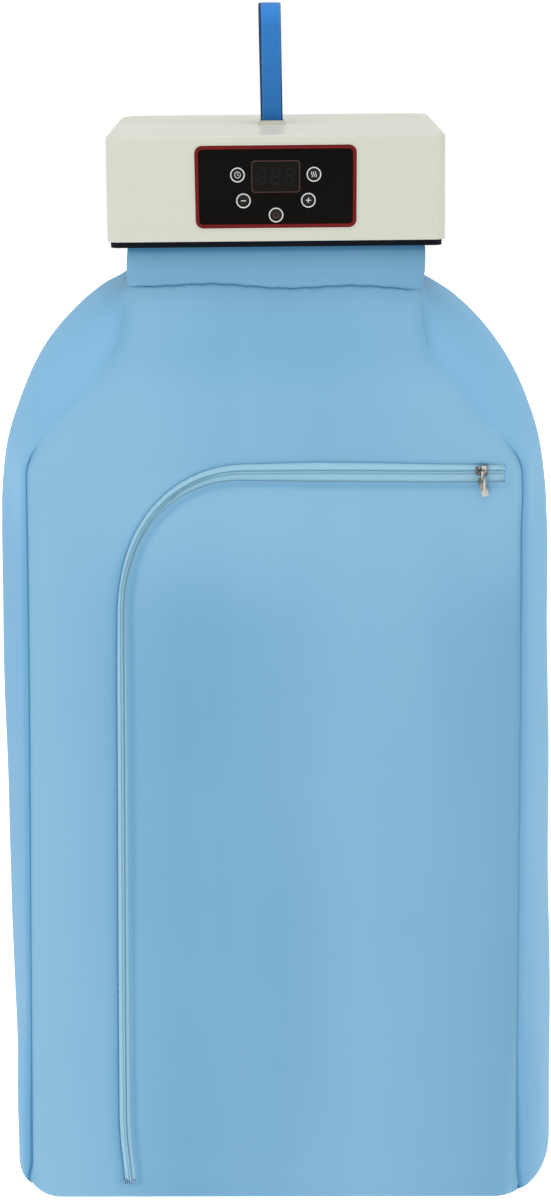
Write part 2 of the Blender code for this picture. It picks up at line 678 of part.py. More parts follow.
def make_tray():
    """Tray that closes the head: floor, tongue inside the cover, skirt for the bag and board stand-offs."""
    inset = COVER_WALL + GAP
    tray = prism("base_tray", head_outline(inset), TRAY_FOOT, COVER_FOOT + TRAY_TONGUE, BLACK)
    lean_ends(tray)
    dish = prism("dish", head_outline(inset + TRAY_WALL), FLOOR_TOP,
                 COVER_FOOT + TRAY_TONGUE + OVERRUN, BLACK)
    lean_ends(dish)
    cut(tray, dish)
    skirt = prism("skirt", rounded(SKIRT_WIDTH, SKIRT_DEPTH, NECK_CORNER), TRAY_FOOT - SKIRT_DROP,
                  TRAY_FOOT + FUSE, BLACK)
    inside = rounded(SKIRT_WIDTH - 2 * SKIRT_WALL, SKIRT_DEPTH - 2 * SKIRT_WALL, NECK_CORNER)
    cut(skirt, prism("inside", inside, TRAY_FOOT - SKIRT_DROP - OVERRUN, TRAY_FOOT + OVERRUN, BLACK))
    join(tray, skirt)
    mouth = rounded(OUTLET_WIDTH + 2 * GAP, OUTLET_DEPTH + 2 * GAP, OUTLET_CORNER)
    cut(tray, prism("mouth", mouth, TRAY_FOOT - OVERRUN, FLOOR_TOP + OVERRUN, BLACK))
    post_x, post_y = POWER_BOARD_WIDTH / 2 - POST_INSET, POWER_BOARD_DEPTH / 2 - POST_INSET
    for sx in (-1, 1):
        for sy in (-1, 1):
            spot = (MAINS_X + sx * post_x, sy * post_y)
            join(tray, prism("stand_off", circle(POST_RADIUS, spot, SMALL_SIDES), FLOOR_TOP - FUSE,
                             FLOOR_TOP + POWER_BOARD_RISE, BLACK))
            spot = (sx * BOSS_X, sy * SCREW_ROW)
            cut(tray, turned("screw_seat", screw_profile(GAP, OVERRUN), (*spot, TRAY_FOOT), BLACK,
                             sides=SMALL_SIDES))


def screw_profile(clearance, overrun):
    """Countersunk screw from its head's face up, grown by a clearance and run past its ends by an overrun."""
    head, shank = SCREW_HEAD_RADIUS + clearance, SCREW_RADIUS + clearance
    top = TRAY_FLOOR + overrun if overrun else SCREW_LENGTH
    return [(0, -overrun), (head, -overrun), (head, 0), (shank, SCREW_HEAD_HEIGHT), (shank, top), (0, top)]


def make_screws():
    """Four countersunk screws driven up through the tray into the cover's bosses."""
    spots = [(sx * BOSS_X, sy * SCREW_ROW) for sy in (-1, 1) for sx in (-1, 1)]
    plain = [(r, h) for i, (r, h) in enumerate(screw_profile(0, 0)) if i != 1]
    for number, spot in enumerate(spots, 1):
        turned(f"cover_screw_{number}", plain, (*spot, TRAY_FOOT), STEEL, sides=SMALL_SIDES)


def make_outlet():
    """Grille of cross bars that drops into the tray's mouth and hangs on its flange."""
    grille = prism("outlet_grille", rounded(OUTLET_WIDTH, OUTLET_DEPTH, OUTLET_CORNER), TRAY_FOOT,
                   FLOOR_TOP + GAP + OUTLET_FLANGE_THICK, BLACK)
    flange = rounded(OUTLET_WIDTH + 2 * OUTLET_FLANGE, OUTLET_DEPTH + 2 * OUTLET_FLANGE, OUTLET_CORNER)
    join(grille, prism("flange", flange, FLOOR_TOP + GAP, FLOOR_TOP + GAP + OUTLET_FLANGE_THICK, BLACK))
    pitch = (OUTLET_WIDTH - OUTLET_BAR) / OUTLET_BARS
    length = OUTLET_DEPTH / 2 - 3 / 2 * OUTLET_BAR
    for row in (-1, 1):
        for index in range(OUTLET_BARS):
            x = -OUTLET_WIDTH / 2 + OUTLET_BAR / 2 + pitch * (index + 1 / 2)
            slot = rectangle(pitch - OUTLET_BAR, length, (x, row * OUTLET_DEPTH / 4))
            cut(grille, prism("slot", slot, TRAY_FOOT - OVERRUN, FLOOR_TOP + OVERRUN, BLACK))


def make_heater():
    """Heater frame on the tray floor, the folded fin core in it and the thermal cut-out on its side."""
    foot = FLOOR_TOP + GAP
    frame = prism("heater_frame", rounded(HEATER_WIDTH, HEATER_DEPTH, OUTLET_CORNER), foot, HEATER_TOP, NYLON)
    bore_w, bore_d = HEATER_WIDTH - 2 * HEATER_WALL, HEATER_DEPTH - 2 * HEATER_WALL
    cut(frame, prism("bore", rectangle(bore_w, bore_d), foot - OVERRUN, HEATER_TOP + OVERRUN, NYLON))
    core_low = HEATER_TOP - CORE_HEIGHT - GAP
    width, depth = bore_w - 2 * GAP, bore_d - 2 * GAP
    pitch = (width - FIN_THICK) / CORE_FINS
    core = serpentine(width, depth, pitch)
    prism("heater_core", core, core_low, HEATER_TOP - GAP, ALLOY)
    center = (-HEATER_WIDTH / 2 - GAP, 0, (foot + HEATER_TOP) / 2)
    cap = THERMOSTAT_RADIUS * THERMOSTAT_CAP_SHARE
    rise = THERMOSTAT_HEIGHT / 2
    profile = [(0, -THERMOSTAT_HEIGHT), (cap, -THERMOSTAT_HEIGHT), (cap, -rise), (THERMOSTAT_RADIUS, -rise),
               (THERMOSTAT_RADIUS, 0), (0, 0)]
    turned("thermostat", profile, center, ALLOY, "X")


def serpentine(width, depth, pitch):
    """Outline of a strip folded to and fro across a rectangle, one fold for each pitch."""
    one, other = [], []
    for index in range(CORE_FINS + 1):
        x = -width / 2 + FIN_THICK / 2 + pitch * index
        end = depth / 2 if index % 2 else -depth / 2
        wall = math.copysign(FIN_THICK, end)
        inner_start = wall - end if index else -end
        inner_end = end - wall if index < CORE_FINS else end
        near = [(x - FIN_THICK / 2, inner_start), (x - FIN_THICK / 2, end)]
        far = [(x + FIN_THICK / 2, -end), (x + FIN_THICK / 2, inner_end)]
        one += far if index % 2 else near
        other += near if index % 2 else far
    return one + other[::-1]


# Blower


def make_blower():
    """Round duct on the heater with a spider that carries the motor, and the motor on top of it."""
    outer = DUCT_BORE + DUCT_WALL
    duct = prism("blower_housing", circle(outer), DUCT_FOOT, DUCT_TOP, GREY)
    side = 2 * outer
    join(duct, prism("flange", rounded(side, side, OUTLET_CORNER), DUCT_FOOT, DUCT_FOOT + DUCT_FLANGE, GREY))
    cut(duct, prism("bore", circle(DUCT_BORE), DUCT_FOOT - OVERRUN, DUCT_TOP + OVERRUN, GREY))
    spider_low = DUCT_TOP - SPIDER_THICK
    for width, depth in ((2 * DUCT_BORE + DUCT_WALL, SPIDER_ARM), (SPIDER_ARM, 2 * DUCT_BORE + DUCT_WALL)):
        join(duct, prism("arm", rectangle(width, depth), spider_low, DUCT_TOP, GREY))
    join(duct, prism("plate", circle(SPIDER_HUB), spider_low, DUCT_TOP, GREY))
    cut(duct, prism("pass", circle(SHAFT_BORE, sides=SMALL_SIDES), spider_low - OVERRUN,
                    DUCT_TOP + OVERRUN, GREY))
    profile = [(0, 0), (MOTOR_RADIUS, 0), (MOTOR_RADIUS, MOTOR_HEIGHT - MOTOR_FILLET),
               (MOTOR_RADIUS - MOTOR_FILLET, MOTOR_HEIGHT), (0, MOTOR_HEIGHT)]
    motor = turned("blower_motor", profile, (0, 0, MOTOR_FOOT), STEEL)
    cut(motor, prism("bore", circle(SHAFT_BORE, sides=SMALL_SIDES), MOTOR_FOOT - OVERRUN,
                     MOTOR_FOOT + SHAFT_DEPTH + GAP, STEEL))
    prism("motor_shaft", circle(SHAFT_RADIUS, sides=SMALL_SIDES), IMPELLER_FOOT,
          MOTOR_FOOT + SHAFT_DEPTH, STEEL)


def blade_grids(turn):
    """Two faces of one blade, twisted from root to tip and cambered along its chord."""
    root = IMPELLER_HUB - BLADE_THICK
    tip = DUCT_BORE - IMPELLER_TIP_GAP
    span = np.linspace(0, 1, BLADE_SPAN_STEPS)[:, None]
    chord = np.linspace(-1 / 2, 1 / 2, BLADE_CHORD_STEPS)[None, :]
    radius = root + (tip - root) * span
    pitch = np.radians(BLADE_ROOT_PITCH + (BLADE_TIP_PITCH - BLADE_ROOT_PITCH) * span)
    length = (IMPELLER_HEIGHT - 2 * BLADE_THICK) / np.sin(math.radians(BLADE_ROOT_PITCH)) * np.ones_like(span)
    bow = BLADE_CAMBER_SHARE * length * (1 - (2 * chord) ** 2)
    sides = []
    for half in (-1 / 2, 1 / 2):
        lift = bow + half * BLADE_THICK
        along = length * chord * np.cos(pitch) - lift * np.sin(pitch)
        height = length * chord * np.sin(pitch) + lift * np.cos(pitch)
        angle = turn + along / radius + BLADE_SWEEP_SHARE * span
        middle = (IMPELLER_TOP + IMPELLER_FOOT) / 2
        sides.append(np.stack([radius * np.cos(angle), radius * np.sin(angle), middle + height], axis=-1))
    return sides


def make_impeller():
    """Axial fan wheel: a round-nosed hub with twisted blades."""
    profile = [(0, IMPELLER_FOOT), (IMPELLER_HUB - MOTOR_FILLET, IMPELLER_FOOT),
               (IMPELLER_HUB, IMPELLER_FOOT + MOTOR_FILLET), (IMPELLER_HUB, IMPELLER_TOP), (0, IMPELLER_TOP)]
    wheel = turned("impeller", profile, (0, 0, 0), GREY)
    for index in range(BLADES):
        front, back = blade_grids(2 * math.pi * index / BLADES)
        join(wheel, shell("blade", front, back, GREY))
    cut(wheel, prism("bore", circle(SHAFT_BORE, sides=SMALL_SIDES), IMPELLER_FOOT - OVERRUN,
                     IMPELLER_TOP + OVERRUN, GREY))


# Mains side and air inlet


def inlet_outline(width, height):
    """Socket outline with its two upper corners cut off."""
    w, h, c = width / 2, height / 2, INLET_CHAMFER
    points = [(-w, -h), (w, -h), (w, h - c), (w - c, h), (c - w, h), (-w, h - c)]
    return [(MAINS_X + x, INLET_Z + z) for x, z in points]


def make_mains():
    """Power board on its stand-offs, and the three-pin inlet in the back wall."""
    low = FLOOR_TOP + POWER_BOARD_RISE + GAP
    board = prism("power_board", rectangle(POWER_BOARD_WIDTH, POWER_BOARD_DEPTH, (MAINS_X, 0)), low,
                  low + BOARD_THICK, BOARD)
    top = low + BOARD_THICK
    join(board, prism("relay", rectangle(RELAY_SIZE, RELAY_SIZE, (MAINS_X, RELAY_SIZE)), top - FUSE,
                      top + RELAY_SIZE, BOARD))
    for step in (-1, 1):
        spot = (MAINS_X + step * RELAY_SIZE / 2, -RELAY_SIZE)
        join(board, prism("capacitor", circle(CAPACITOR_RADIUS, spot, SMALL_SIDES), top - FUSE,
                          top + CAPACITOR_HEIGHT, BOARD))
    front = HEAD_BACK - COVER_WALL - INLET_BODY_DEPTH
    body = prism("power_inlet", rectangle(INLET_WIDTH, INLET_HEIGHT, (MAINS_X, INLET_Z)), front,
                 HEAD_BACK + GAP + INLET_FLANGE, BLACK, "Y")
    flange = rounded(INLET_WIDTH + 2 * INLET_FLANGE_REACH, INLET_HEIGHT + 2 * INLET_FLANGE_REACH,
                     INLET_FLANGE_REACH, (MAINS_X, INLET_Z))
    join(body, prism("flange", flange, HEAD_BACK + GAP, HEAD_BACK + GAP + INLET_FLANGE, BLACK, "Y"))
    face = HEAD_BACK + GAP + INLET_FLANGE
    floor = face - INLET_RECESS_DEPTH
    cut(body, prism("recess", inlet_outline(INLET_RECESS_WIDTH, INLET_RECESS_HEIGHT), floor, face + OVERRUN,
                    BLACK, "Y"))
    pins = {"inlet_pin_line": (-PIN_SPREAD, -PIN_OFFSET), "inlet_pin_neutral": (PIN_SPREAD, -PIN_OFFSET),
            "inlet_pin_earth": (0, PIN_OFFSET)}
    for name, (x, z) in pins.items():
        prism(name, rectangle(PIN_THICK, PIN_HEIGHT, (MAINS_X + x, INLET_Z + z)), floor + GAP,
              floor + GAP + PIN_LENGTH, STEEL, "Y")


def make_air_inlet():
    """Slotted grille in the back wall, held by an inner flange, with the foam filter behind it."""
    outline = rounded(GRILLE_WIDTH, GRILLE_HEIGHT, GRILLE_CORNER - GAP, (GRILLE_X, GRILLE_Z))
    wall_inside = HEAD_BACK - COVER_WALL - GAP
    grille = prism("inlet_grille", outline, wall_inside - GRILLE_FLANGE_THICK, HEAD_BACK, BLACK, "Y")
    flange = rounded(GRILLE_WIDTH + 2 * GRILLE_FLANGE, GRILLE_HEIGHT + 2 * GRILLE_FLANGE, GRILLE_CORNER,
                     (GRILLE_X, GRILLE_Z))
    join(grille, prism("flange", flange, wall_inside - GRILLE_FLANGE_THICK, wall_inside, BLACK, "Y"))
    row = (GRILLE_HEIGHT - GRILLE_BAR) / GRILLE_SLOTS
    column = (GRILLE_WIDTH - GRILLE_RIB) / (GRILLE_RIBS + 1)
    for i in range(GRILLE_SLOTS):
        z = GRILLE_Z - GRILLE_HEIGHT / 2 + GRILLE_BAR / 2 + row * (i + 1 / 2)
        for j in range(GRILLE_RIBS + 1):
            x = GRILLE_X - GRILLE_WIDTH / 2 + GRILLE_RIB / 2 + column * (j + 1 / 2)
            cut(grille, prism("slot", rectangle(column - GRILLE_RIB, row - GRILLE_BAR, (x, z)),
                              wall_inside - OVERRUN, HEAD_BACK + OVERRUN, BLACK, "Y"))
    back = wall_inside - GRILLE_FLANGE_THICK - GAP
    prism("inlet_filter", rounded(GRILLE_WIDTH, GRILLE_HEIGHT, GRILLE_CORNER, (GRILLE_X, GRILLE_Z)),
          back - FILTER_THICK, back, FOAM, "Y")


# Hanger bail


def make_bail():
    """Wire bail in two lugs under the tray, with its ends turned out through them."""
    end = LUG_Y + LUG_THICK / 2 + BAIL_PIN_END
    low = BAIL_AXIS_Z - BAIL_DROP
    corners = [(0, -end, BAIL_AXIS_Z), (0, -BAIL_SPREAD, BAIL_AXIS_Z), (0, -BAIL_SPREAD, low),
               (0, BAIL_SPREAD, low), (0, BAIL_SPREAD, BAIL_AXIS_Z), (0, end, BAIL_AXIS_Z)]
    tight = rounded_path(corners[:3], BAIL_RADIUS, FILLET_STEPS)[:-1]
    wide = rounded_path(corners[1:5], BAIL_BEND, CORNER_STEPS)[1:-1]
    last = rounded_path(corners[3:], BAIL_RADIUS, FILLET_STEPS)[1:]
    wire("hanger_bail", tight + wide + last, BAIL_RADIUS, STEEL)
    for name, side in (("bail_lug_front", -1), ("bail_lug_back", 1)):
        low_z = BAIL_AXIS_Z - LUG_WIDTH / 2
        high_z = TRAY_FOOT - GAP
        half = LUG_WIDTH / 2
        turns = np.linspace(math.pi, 2 * math.pi, LUG_ARC_STEPS)
        arc = [(half * math.cos(a), BAIL_AXIS_Z + half * math.sin(a)) for a in turns]
        outline = [(half, high_z), (-half, high_z)] + arc
        y = side * LUG_Y
        lug = prism(name, outline, y - LUG_THICK / 2, y + LUG_THICK / 2, STEEL, "Y")
        cut(lug, prism("eye", circle(BAIL_RADIUS + GAP, (0, BAIL_AXIS_Z), SMALL_SIDES),
                       y - LUG_THICK, y + LUG_THICK, STEEL, "Y"))


# Bag


def crease_half(z):
    """Half width of the front panel: an S from the neck over the shoulder, then a straight flare."""
    share = np.clip((SEAM_Z - z) / CREASE_DROP, 0, 1) ** SHOULDER_POWER_SHARE
    ease = share * share * (3 - 2 * share)
    flare = np.clip((SEAM_Z - CREASE_DROP - z) / (BAG_DROP - CREASE_DROP), 0, 1)
    shoulder = NECK_WIDTH / 2 + (CREASE_SHOULDER - NECK_WIDTH / 2) * ease
    return shoulder + (CREASE_FOOT - CREASE_SHOULDER) * flare


def front_half(z):
    """Distance of the front panel from the middle: a quarter sine out from the neck, then upright."""
    share = np.clip((SEAM_Z - z) / FRONT_DROP, 0, 1)
    return NECK_DEPTH / 2 + (BAG_DEPTH - NECK_DEPTH) / 2 * np.sin(math.pi / 2 * share)


def side_half(z):
    """Half width at mid depth: a slope off the neck seam, a round arch, then a straight flare."""
    drop = SEAM_Z - z
    above = np.clip(ARCH_DROP - drop, 0, ARCH_RADIUS)
    arch = np.sqrt(ARCH_RADIUS ** 2 - above ** 2)
    slope = NECK_WIDTH / 2 + SHOULDER_SLOPE_SHARE * drop
    flare = SIDE_FLARE * np.clip((drop - ARCH_DROP) / (BAG_DROP - ARCH_DROP), 0, 1)
    return np.minimum(arch, slope) + flare


def bag_levels():
    """Heights of the panels' rows: close over the arch, wide apart below it."""
    first = math.acos(ARCH_DROP / ARCH_RADIUS)
    angles = np.linspace(first, math.pi / 2, ARCH_ROWS)[1:]
    arch = ARCH_DROP - ARCH_RADIUS * np.cos(angles)
    straight = np.linspace(ARCH_DROP, BAG_DROP - CLOTH - GAP, SIDE_ROWS + 1)[1:]
    return SEAM_Z - np.concatenate([[GAP], arch, straight])


def panel_slope(z):
    """Thickness of the sloping front cloth along Y for one unit across it."""
    rise = np.gradient(front_half(z), z)
    return np.sqrt(1 + rise ** 2)


def gusset_point(y, z):
    """Half width of the side panel at depth y: a quarter sine from the crease to mid depth."""
    share = 1 - np.abs(y) / front_half(z)
    return crease_half(z) + (side_half(z) - crease_half(z)) * np.sin(math.pi / 2 * share)


def make_gusset(name, side):
    """Side panel with the shoulder, butted behind the front and back panels."""
    z = bag_levels()[:, None] * np.ones((1, GUSSET_COLUMNS + 1))
    edge = front_half(z[:, :1]) - CLOTH * panel_slope(bag_levels())[:, None] - GAP
    turn = np.linspace(-math.pi / 2, math.pi / 2, GUSSET_COLUMNS + 1)
    y = edge * np.sin(turn)[None, :]
    x = gusset_point(y, z)
    run_x = np.gradient(x, axis=0)
    run_z = np.gradient(z, axis=0)
    length = np.hypot(run_x, run_z)
    outer = np.stack([side * x, y, z], axis=-1)
    inner = np.stack([side * (x + CLOTH * run_z / length), y, z - CLOTH * run_x / length], axis=-1)
    shell(name, outer, inner, BLUE)


def make_wall(name, side):
    """Front or back panel between the creases."""
    z = bag_levels()[:, None] * np.ones((1, 2))
    x = crease_half(z) * np.array([[-1, 1]])
    depth = front_half(z)
    rise = np.gradient(depth[:, 0], z[:, 0])[:, None]
    length = np.sqrt(1 + rise ** 2)
    outer = np.stack([x, side * depth, z], axis=-1)
    inner = np.stack([x, side * (depth - CLOTH / length), z + CLOTH * rise / length], axis=-1)
    return shell(name, outer, inner, BLUE)


def make_neck():
    """Cloth neck over the tray's skirt, and the hook tape between them."""
    neck = prism("bag_neck", rounded(NECK_WIDTH, NECK_DEPTH, NECK_CORNER), SEAM_Z, TRAY_FOOT - GAP, BLUE)
    inner = rounded(NECK_WIDTH - 2 * CLOTH, NECK_DEPTH - 2 * CLOTH, NECK_CORNER - CLOTH)
    cut(neck, prism("inner", inner, SEAM_Z - OVERRUN, TRAY_FOOT + OVERRUN, BLUE))
    grow = 2 * (GAP + HOOK_TAPE)
    tape = prism("neck_hook_tape", rounded(SKIRT_WIDTH + grow, SKIRT_DEPTH + grow, NECK_CORNER),
                 TRAY_FOOT - GAP - HOOK_TAPE_HEIGHT, TRAY_FOOT - GAP, HOOKS)
    hole = rounded(SKIRT_WIDTH + 2 * GAP, SKIRT_DEPTH + 2 * GAP, NECK_CORNER)
    cut(tape, prism("hole", hole, TRAY_FOOT - SKIRT_DROP - OVERRUN, TRAY_FOOT + OVERRUN, BLACK))


def make_base():
    """Flat base panel, cut to the plan of the walls above it."""
    level = np.array(BAG_FOOT)
    turn = np.linspace(-math.pi / 2, math.pi / 2, GUSSET_COLUMNS + 1)
    y = front_half(level) * np.sin(turn)
    x = gusset_point(y, level)
    outline = list(zip(x, y)) + list(zip(-x[::-1], y[::-1]))
    prism("bag_bottom", outline, BAG_FOOT, BAG_FOOT + CLOTH, BLUE)


# Zip


def zip_line(offset):
    """Zip line from its right end round the corner to its foot, moved outwards by offset."""
    turn = np.linspace(0, math.pi / 2, ZIP_TURN_STEPS + 1)
    reach, rise = np.sin(turn) ** (2 / ZIP_BEND_POWER), np.cos(turn) ** (2 / ZIP_BEND_POWER)
    x = np.concatenate([[ZIP_RIGHT], ZIP_BEND_X - ZIP_BEND_WIDTH * reach, [ZIP_FOOT[0]]])
    z = np.concatenate([[ZIP_Z], ZIP_Z - ZIP_BEND_HEIGHT * (1 - rise), [ZIP_FOOT[1]]])
    line = np.stack([x, z], axis=-1)
    along = np.gradient(line, axis=0)
    along[0], along[-1] = line[1] - line[0], line[-1] - line[-2]
    along /= np.linalg.norm(along, axis=1, keepdims=True)
    return line + offset * np.stack([along[:, 1], -along[:, 0]], axis=-1)


def fold_frame():
    """Foot of the fold, its direction and the direction across it to the flap."""
    top = np.array([FOLD_TOP, ZIP_Z])
    foot = np.array(ZIP_FOOT)
    along = (foot - top) / np.linalg.norm(foot - top)
    return top, along, np.array([along[1], -along[0]])


def clip_to_flap(outline, distance):
    """Part of an outline that lies at least a distance from the fold, on the flap's side."""
    top, _, across = fold_frame()
    kept = []
    points = [np.array(p) for p in outline]
    for first, second in zip(points, points[1:] + points[:1]):
        a = float((first - top) @ across) - distance
        b = float((second - top) @ across) - distance
        if a >= 0:
            kept.append(tuple(first))
        if (a >= 0) != (b >= 0):
            kept.append(tuple(first + (second - first) * a / (a - b)))
    return kept


def fold_x(z, distance):
    """Where a line parallel to the fold, a distance to the flap's side, crosses height z."""
    top, along, across = fold_frame()
    start = top + across * distance
    return start[0] + along[0] * (z - start[1]) / along[1]


def fixed_band(near, far, fold_gap):
    """Outline of the bag's half of the zip, which turns round the right end and runs back to the fold."""
    right = ZIP_RIGHT
    upper = [tuple(p) for p in zip_line(far)[::-1]]
    inner = [tuple(p) for p in zip_line(near)]
    low, high = ZIP_Z - far, ZIP_Z - near
    inner[0] = (right - ZIP_END_BRIDGE, inner[0][1])
    lower = [(right, low), (fold_x(low, -fold_gap), low), (fold_x(high, -fold_gap), high),
             (right - ZIP_END_BRIDGE, high)]
    return upper + lower + inner


def make_zip():
    """Tapes and coils of both sides, with the end of the lower side sewn to the bag."""
    near = ZIP_SPLIT / 2
    prism("zip_tape_bag", fixed_band(near, TAPE_EDGE, GAP), BAG_FRONT, BAG_FRONT + CLOTH, PALE, "Y")
    prism("zip_coil_bag", fixed_band(near, COIL_EDGE, COIL_FOLD_GAP), COIL_FRONT, BAG_FRONT - GAP, TEAL, "Y")
    band = [tuple(p) for p in zip_line(-near)] + [tuple(p) for p in zip_line(-TAPE_EDGE)[::-1]]
    prism("zip_tape_door", clip_to_flap(band, GAP), BAG_FRONT, BAG_FRONT + CLOTH, PALE, "Y")
    band = [tuple(p) for p in zip_line(-near)] + [tuple(p) for p in zip_line(-COIL_EDGE)[::-1]]
    prism("zip_coil_door", clip_to_flap(band, COIL_FOLD_GAP), COIL_FRONT, BAG_FRONT - GAP, TEAL, "Y")
    x, z = ZIP_FOOT
    prism("zip_bottom_stop", rectangle(STOP_WIDTH, STOP_HEIGHT, (x, z - STOP_HEIGHT / 2 - GAP)),
          BAG_FRONT - GAP - STOP_THICK, BAG_FRONT - GAP, WEBBING, "Y")


def make_front():
    """Front panel with the door's opening, and the flap that fills it up to the fold."""
    front = make_wall("bag_front", -1)
    edge = TAPE_EDGE + GAP
    outline = [tuple(p) for p in zip_line(edge)[::-1]]
    outline[-1] = (ZIP_RIGHT + GAP, ZIP_Z + edge)
    low = ZIP_Z - edge
    foot_x, foot_z = ZIP_FOOT
    outline += [(ZIP_RIGHT + GAP, low), (fold_x(low, -GAP), low), (fold_x(foot_z - GAP, -GAP), foot_z - GAP),
                (outline[0][0], foot_z - GAP)]
    cut(front, prism("doorway", outline, BAG_FRONT - OVERRUN, BAG_FRONT + CLOTH + OVERRUN, BLUE, "Y"))
    flap = [tuple(p) for p in zip_line(-edge)]
    prism("bag_door", clip_to_flap(flap, GAP), BAG_FRONT, BAG_FRONT + CLOTH, BLUE, "Y")


# Slider, link and pull


def make_slider():
    """Two plates joined by a post between the coils, with a crown for the link on the front one."""
    tail, mouth = SLIDER_X - SLIDER_LENGTH / 2, SLIDER_X + SLIDER_LENGTH / 2
    narrow, wide = SLIDER_TAIL / 2, SLIDER_MOUTH / 2
    plate = [(tail, ZIP_Z - narrow), (SLIDER_X, ZIP_Z - wide), (mouth, ZIP_Z - wide),
             (mouth, ZIP_Z + wide), (SLIDER_X, ZIP_Z + wide), (tail, ZIP_Z + narrow)]
    back = BAG_FRONT + CLOTH + GAP
    slider = prism("zip_slider", plate, SLIDER_FRONT, SLIDER_FRONT + SLIDER_PLATE, ZIP_METAL, "Y")
    post = rectangle(SLIDER_POST_LENGTH, SLIDER_POST, (mouth - SLIDER_POST_LENGTH, ZIP_Z))
    join(slider, prism("post", post, SLIDER_FRONT + SLIDER_PLATE / 2, back + SLIDER_PLATE / 2,
                       ZIP_METAL, "Y"))
    join(slider, prism("back_plate", plate, back, back + SLIDER_PLATE, ZIP_METAL, "Y"))
    crown_front = CROWN_Y - CROWN_BAR / 2
    crown = prism("crown", rectangle(CROWN_LENGTH, CROWN_BAR, (SLIDER_X, ZIP_Z)), crown_front,
                  SLIDER_FRONT + SLIDER_PLATE / 2, ZIP_METAL, "Y")
    gate = rectangle(CROWN_LENGTH - 2 * CROWN_FOOT, CROWN_BAR + OVERRUN, (SLIDER_X, ZIP_Z))
    cut(crown, prism("gate", gate, CROWN_Y + CROWN_BAR / 2, SLIDER_FRONT, ZIP_METAL, "Y"))
    join(slider, crown)


def make_link():
    """Wire link that hangs on the crown: two runs joined by half turns, in the plane across the zip."""
    turns = np.linspace(0, math.pi, LINK_TURN_STEPS + 1)
    top = [(SLIDER_X, CROWN_Y + LINK_BEND * math.cos(a), ZIP_Z + LINK_BEND * math.sin(a)) for a in turns]
    low = ZIP_Z - LINK_LENGTH
    foot = [(SLIDER_X, CROWN_Y - LINK_BEND * math.cos(a), low - LINK_BEND * math.sin(a)) for a in turns]
    wire("zip_link", top + foot, LINK_RADIUS, ZIP_METAL, cyclic=True)


def make_pull():
    """Flat pull tab with an eye round the link's foot, leaning a little as it hangs."""
    eye_z = ZIP_Z - LINK_LENGTH - LINK_BEND
    middle = eye_z + PULL_TOP - PULL_LENGTH / 2
    tab = prism("zip_pull", rounded(PULL_WIDTH, PULL_LENGTH, PULL_CORNER, (SLIDER_X, middle)),
                CROWN_Y - PULL_THICK / 2, CROWN_Y + PULL_THICK / 2, ZIP_METAL, "Y")
    cut(tab, prism("eye", circle(PULL_EYE, (SLIDER_X, eye_z), SMALL_SIDES),
                   CROWN_Y - OVERRUN, CROWN_Y + OVERRUN, ZIP_METAL, "Y"))
    pivot = Matrix.Translation((SLIDER_X, CROWN_Y, eye_z))
    tab.data.transform(pivot @ Matrix.Rotation(-math.radians(PULL_LEAN), 4, "Y") @ pivot.inverted())


make_cover()
make_hanging()
make_panel()
make_tray()
make_screws()
make_outlet()
make_heater()
make_blower()
make_impeller()
make_mains()
make_air_inlet()
make_bail()
make_neck()
make_gusset("bag_gusset_left", -1)
make_gusset("bag_gusset_right", 1)
make_front()
make_wall("bag_back", 1)
make_base()
make_zip()
make_slider()
make_link()
make_pull()
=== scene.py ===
# Looks of a portable clothes dryer: a moulded heater head on a webbing loop over a zipped cloth bag.
# Metres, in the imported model's frame: +Z up, the front faces -Y, the origin is the top of the loop.
import math

import bmesh
import bpy
import numpy as np
from mathutils import Euler, Matrix, Vector


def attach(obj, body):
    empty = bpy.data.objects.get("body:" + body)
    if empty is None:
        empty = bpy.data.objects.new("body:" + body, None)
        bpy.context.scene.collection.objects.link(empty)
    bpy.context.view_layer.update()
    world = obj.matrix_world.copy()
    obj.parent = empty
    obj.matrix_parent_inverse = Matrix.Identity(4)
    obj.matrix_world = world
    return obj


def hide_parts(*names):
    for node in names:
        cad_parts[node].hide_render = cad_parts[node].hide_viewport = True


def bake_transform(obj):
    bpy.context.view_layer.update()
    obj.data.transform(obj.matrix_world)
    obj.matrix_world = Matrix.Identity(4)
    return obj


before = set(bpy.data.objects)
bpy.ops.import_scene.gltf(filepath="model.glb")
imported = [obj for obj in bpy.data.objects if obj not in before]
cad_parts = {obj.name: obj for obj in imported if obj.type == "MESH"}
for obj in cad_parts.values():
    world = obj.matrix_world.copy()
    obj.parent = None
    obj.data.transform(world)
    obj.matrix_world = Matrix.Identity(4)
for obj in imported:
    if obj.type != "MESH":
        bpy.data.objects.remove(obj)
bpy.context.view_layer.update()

# Camera: a little above the head, looking down 19 degrees, and turned a little about its own axis,
# as the head's long edges rise to the right in the photograph.
eye = bpy.data.objects.new("camera", bpy.data.cameras.new("camera"))
bpy.context.scene.collection.objects.link(eye)
eye.data.lens = 56.4
eye.data.sensor_width = 36
eye.data.sensor_fit = "AUTO"
eye.location = (-0.0038, -1.8065, 0.054)
looking = Euler((math.radians(70.7), 0, 0)).to_matrix()
eye.rotation_euler = (looking @ Matrix.Rotation(math.radians(-0.55), 3, "Z")).to_euler()
bpy.context.scene.camera = eye
bpy.context.scene.view_settings.view_transform = "Standard"


# Studio: a tall strip in front on the left, softer lights from both sides and above, and a pale floor below.
def lamp(name, place, aim, size, power):
    """White area light of a width and a height that looks from place at aim."""
    data = bpy.data.lights.new(name, "AREA")
    data.shape = "RECTANGLE"
    data.size, data.size_y = size
    data.energy = power
    made = bpy.data.objects.new(name, data)
    bpy.context.scene.collection.objects.link(made)
    made.location = place
    made.rotation_euler = (Vector(aim) - Vector(place)).to_track_quat("-Z", "Y").to_euler()


